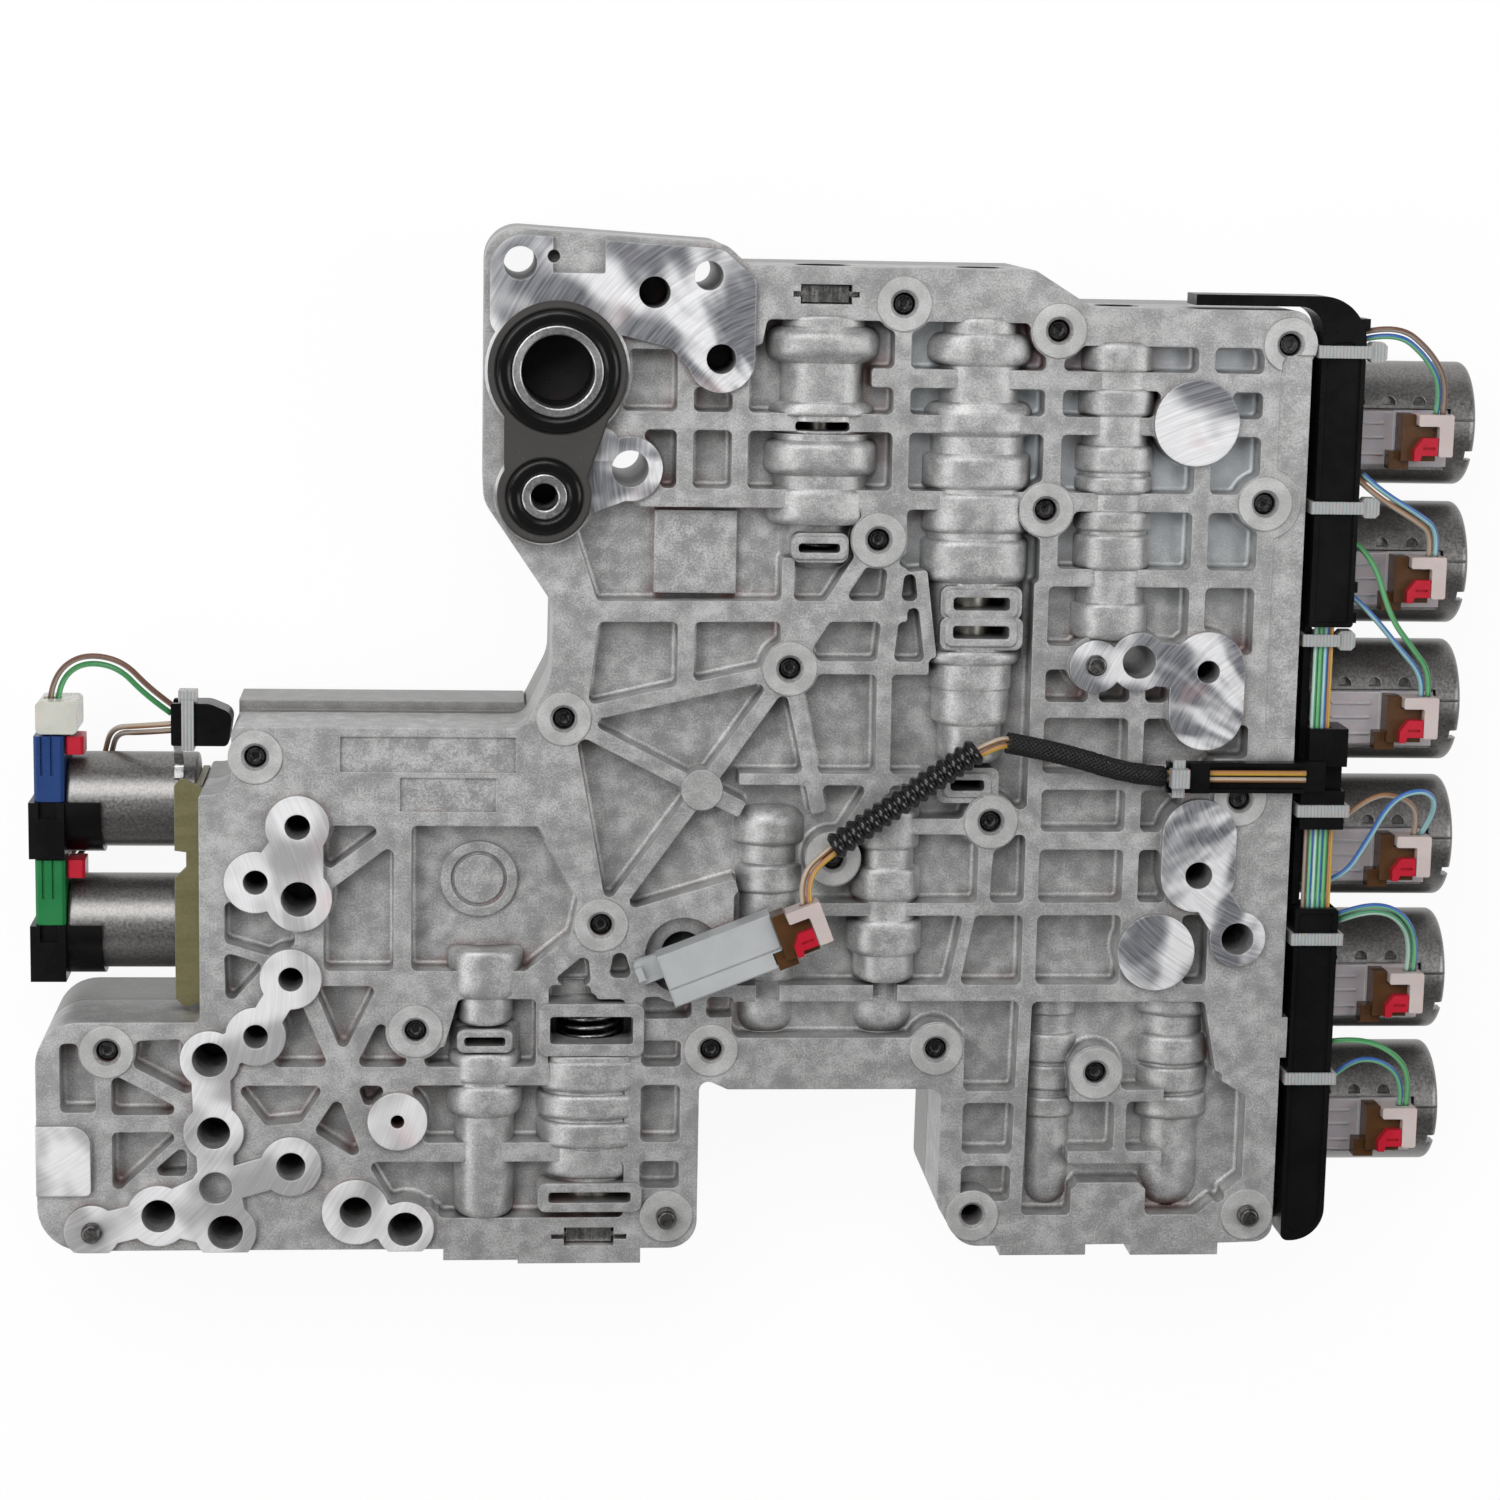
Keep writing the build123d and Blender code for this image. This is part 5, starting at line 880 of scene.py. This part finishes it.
def skin_ring(x, y, half, crest, bore):
    """One cross-section: a flattened arch outside and a round one inside, over the bore."""
    ring = []
    foot = SKIN_FOOT - VALVE_AXIS
    outer_foot = math.asin(min((foot / crest) ** (SKIN_POWER / 2), 1.0))
    for k in range(ARCH_STEPS + 1):
        turn = outer_foot + (math.pi - 2 * outer_foot) * k / ARCH_STEPS
        across = math.copysign(abs(math.cos(turn)) ** (2 / SKIN_POWER), math.cos(turn))
        ring.append((x + half * across, y, VALVE_AXIS + crest * math.sin(turn) ** (2 / SKIN_POWER)))
    inner = bore + BORE_WALL
    inner_foot = math.asin(foot / inner)
    for k in range(BORE_STEPS + 1):
        turn = math.pi - inner_foot - (math.pi - 2 * inner_foot) * k / BORE_STEPS
        ring.append((x + inner * math.cos(turn), y, VALVE_AXIS + inner * math.sin(turn)))
    return metres(ring)


def ring_place(corner, ring):
    """Which point of a ring a corner stands on."""
    return min(range(len(ring)), key=lambda i: (Vector(ring[i]) - corner.co).length)


def barrel_skin(name, x, bore, steps, low, high):
    """A skin from low to high, grown ring by ring and closed at both ends."""
    shape = bmesh.new()
    rings = [skin_ring(x, y, half, crest, bore) for y, half, crest in lobe_profile(steps, low, high)]
    corners = [shape.verts.new(place) for place in rings[0]]
    rim = [shape.edges.new(pair) for pair in zip(corners, corners[1:] + corners[:1])]
    bmesh.ops.holes_fill(shape, edges=rim)
    for ring in rings[1:]:
        grown = bmesh.ops.extrude_edge_only(shape, edges=rim)["geom"]
        rim = [part for part in grown if isinstance(part, bmesh.types.BMEdge)]
        ends = [part for part in grown if isinstance(part, bmesh.types.BMVert)]
        for corner in ends:
            before = [edge.other_vert(corner) for edge in corner.link_edges if edge not in rim][0]
            corner.co = ring[corners.index(before)]
        corners = sorted(ends, key=lambda corner: ring_place(corner, ring))
    bmesh.ops.holes_fill(shape, edges=rim)
    bmesh.ops.remove_doubles(shape, verts=shape.verts, dist=0.01 * MM)
    bmesh.ops.recalc_face_normals(shape, faces=shape.faces)
    return finish_piece(name, mesh_from(shape, name), finishes["barrel_skin"])


# Each row's valve, its lobes as top, bottom and half width, and the stretches that its skins cover
skins = [
    (
        "main_pressure_barrel", "main_pressure_valve",
        [
            (112.5, 109.8, 11.0), (109.8, 100.5, 14.6), (100.5, 90.5, 10.6), (90.5, 82.0, 13.6), (82.0, 80.8, 12.2),
            (80.8, 71.6, 14.6), (71.6, 68.2, 12.0), (68.2, 59.0, 13.6),
        ],
        [(59.0, 82.4), (86.4, 112.5)],
    ),
    (
        "torque_converter_barrel", "torque_converter_valve",
        [
            (112.5, 108.6, 9.5), (108.6, 100.3, 13.6), (100.3, 91.0, 10.4), (91.0, 82.2, 14.1), (82.2, 77.8, 12.2),
            (77.8, 68.6, 14.1), (68.6, 67.6, 12.8), (67.6, 57.2, 14.0), (57.2, 55.6, 12.6), (55.6, 44.4, 14.1),
        ],
        [(44.4, 112.5)],
    ),
    (
        "torque_converter_lower_barrel", "torque_converter_valve",
        [(26.4, 22.8, 13.0), (22.8, 16.1, 10.7), (16.1, 6.8, 10.2), (6.8, -3.0, 8.3)],
        [(-3.0, 26.4)],
    ),
    (
        "clutch_regulator_barrel", "clutch_regulator_valve",
        [
            (107.0, 99.4, 9.4), (99.4, 95.0, 8.6), (95.0, 88.0, 9.8), (88.0, 80.4, 8.6), (80.4, 73.4, 10.1),
            (73.4, 72.4, 9.0), (72.4, 67.8, 10.1), (67.8, 63.6, 8.6), (63.6, 58.2, 9.9), (58.2, 57.2, 8.9),
            (57.2, 48.0, 9.9), (48.0, 39.4, 8.6), (39.4, 29.5, 9.9),
        ],
        [(29.5, 107.0)],
    ),
    (
        "lock_up_barrel", "lock_up_valve",
        [
            (-15.5, -26.3, 8.6), (-26.3, -31.1, 7.2), (-31.1, -40.0, 9.1), (-40.0, -45.3, 7.8), (-45.3, -54.8, 9.9),
            (-54.8, -62.0, 8.0),
        ],
        [(-62.0, -15.5)],
    ),
    ("shift_valve_left_barrel", "shift_valve_left", [(-53.6, -66.5, 9.9), (-66.5, -73.7, 7.3)], [(-73.7, -53.6)]),
    (
        "shift_valve_left_lower_barrel", "shift_valve_left",
        [(-81.2, -89.2, 9.4), (-89.2, -90.2, 8.2), (-90.2, -98.4, 9.9), (-98.4, -126.0, 7.8)],
        [(-126.0, -81.2)],
    ),
    (
        "manual_pressure_barrel", "manual_pressure_valve",
        [
            (-81.2, -83.4, 13.8), (-83.4, -91.5, 14.2), (-91.5, -92.3, 12.8), (-92.3, -99.0, 14.0),
            (-99.0, -99.8, 12.8), (-99.8, -106.8, 14.0), (-106.8, -115.4, 12.9),
        ],
        [(-115.4, -81.2)],
    ),
]
for name, valve, steps, spans in skins:
    for k, (low, high) in enumerate(spans):
        barrel_skin(f"{name}_{k + 1}", *bores[valve], steps, low, high)


# Return springs, one in each valve's bore: the blind end, the way they point and the valve's travel

SPRING_TURNS, SPRING_STEPS = 6, 96
SPRING_CLOSED = 10.0
SPRING_END = 0.9
SPRING_INSET = 1.5

springs = [
    ("main_pressure_valve", 49.0, 1, 6.0), ("torque_converter_valve", 1.0, 1, 6.0),
    ("clutch_regulator_valve", 34.0, 1, 5.0), ("cooler_bypass_valve", -20.5, -1, 4.0),
    ("lock_up_valve", -20.5, -1, 4.0), ("shift_valve_left", -59.0, -1, 4.5),
    ("manual_pressure_valve", -69.5, -1, 6.0), ("shift_valve_right", -69.0, -1, 4.0),
    ("solenoid_feed_valve", -69.0, -1, 4.5),
]
for valve, blind, way, travel in springs:
    x, bore = bores[valve]
    length = travel + SPRING_CLOSED
    reach = bore - SPRING_INSET
    coil = []
    for k in range(SPRING_STEPS + 1):
        turn = 2 * math.pi * SPRING_TURNS * k / SPRING_STEPS
        y = blind + way * (SPRING_END + (length - 2 * SPRING_END) * k / SPRING_STEPS)
        coil.append((x + reach * math.cos(turn), y, VALVE_AXIS + reach * math.sin(turn)))
    curve = new_curve(valve + "_spring", 0.6 * MM, 1)
    add_line(curve, metres(coil))
    mesh = mesh_of(curve)
    smooth_and_close(mesh)
    piece = finish_piece(valve + "_spring", mesh, finishes["spring"])
    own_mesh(piece)
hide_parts("valve_springs")


# Floor and the light around

floor_mesh = bpy.data.meshes.new("floor")
floor_shape = bmesh.new()
bmesh.ops.create_circle(floor_shape, cap_ends=True, segments=64, radius=6.0)
floor_shape.to_mesh(floor_mesh)
floor_shape.free()
floor = bpy.data.objects.new("floor", floor_mesh)
bpy.context.scene.collection.objects.link(floor)

paper, paper_tree, paper_shader = new_material("white paper")
paper_shader.inputs["Base Color"].default_value = rgb(0.9, 0.9, 0.9)
paper_shader.inputs["Roughness"].default_value = 0.9
rays = put(paper_tree, "ShaderNodeLightPath").outputs
mirrored = calc(paper_tree, "MAXIMUM", rays["Is Glossy Ray"], rays["Is Transmission Ray"])
straight = calc(paper_tree, "MAXIMUM", rays["Is Camera Ray"], mirrored)
glow = put(paper_tree, "ShaderNodeEmission", {"Color": rgb(1.0, 1.0, 1.0), "Strength": 1.0}).outputs[0]
share = times(paper_tree, straight, 0.93)
seen = put(paper_tree, "ShaderNodeMixShader", {0: share, 1: paper_shader.outputs[0], 2: glow}).outputs[0]
paper_tree.links.new(seen, paper_tree.nodes["Material Output"].inputs["Surface"])
floor_mesh.materials.append(paper)

world = bpy.data.worlds.new("studio")
bpy.context.scene.world = world
world.use_nodes = True
sky = world.node_tree
towards = put(sky, "ShaderNodeSeparateXYZ", {0: put(sky, "ShaderNodeTexCoord").outputs["Generated"]}).outputs["Z"]
level = ease(sky, towards, 0.0, 0.95, 0.33, 0.08)
sky.links.new(level, sky.nodes["Background"].inputs["Strength"])
sky.nodes["Background"].inputs["Color"].default_value = rgb(1.0, 1.0, 1.0)
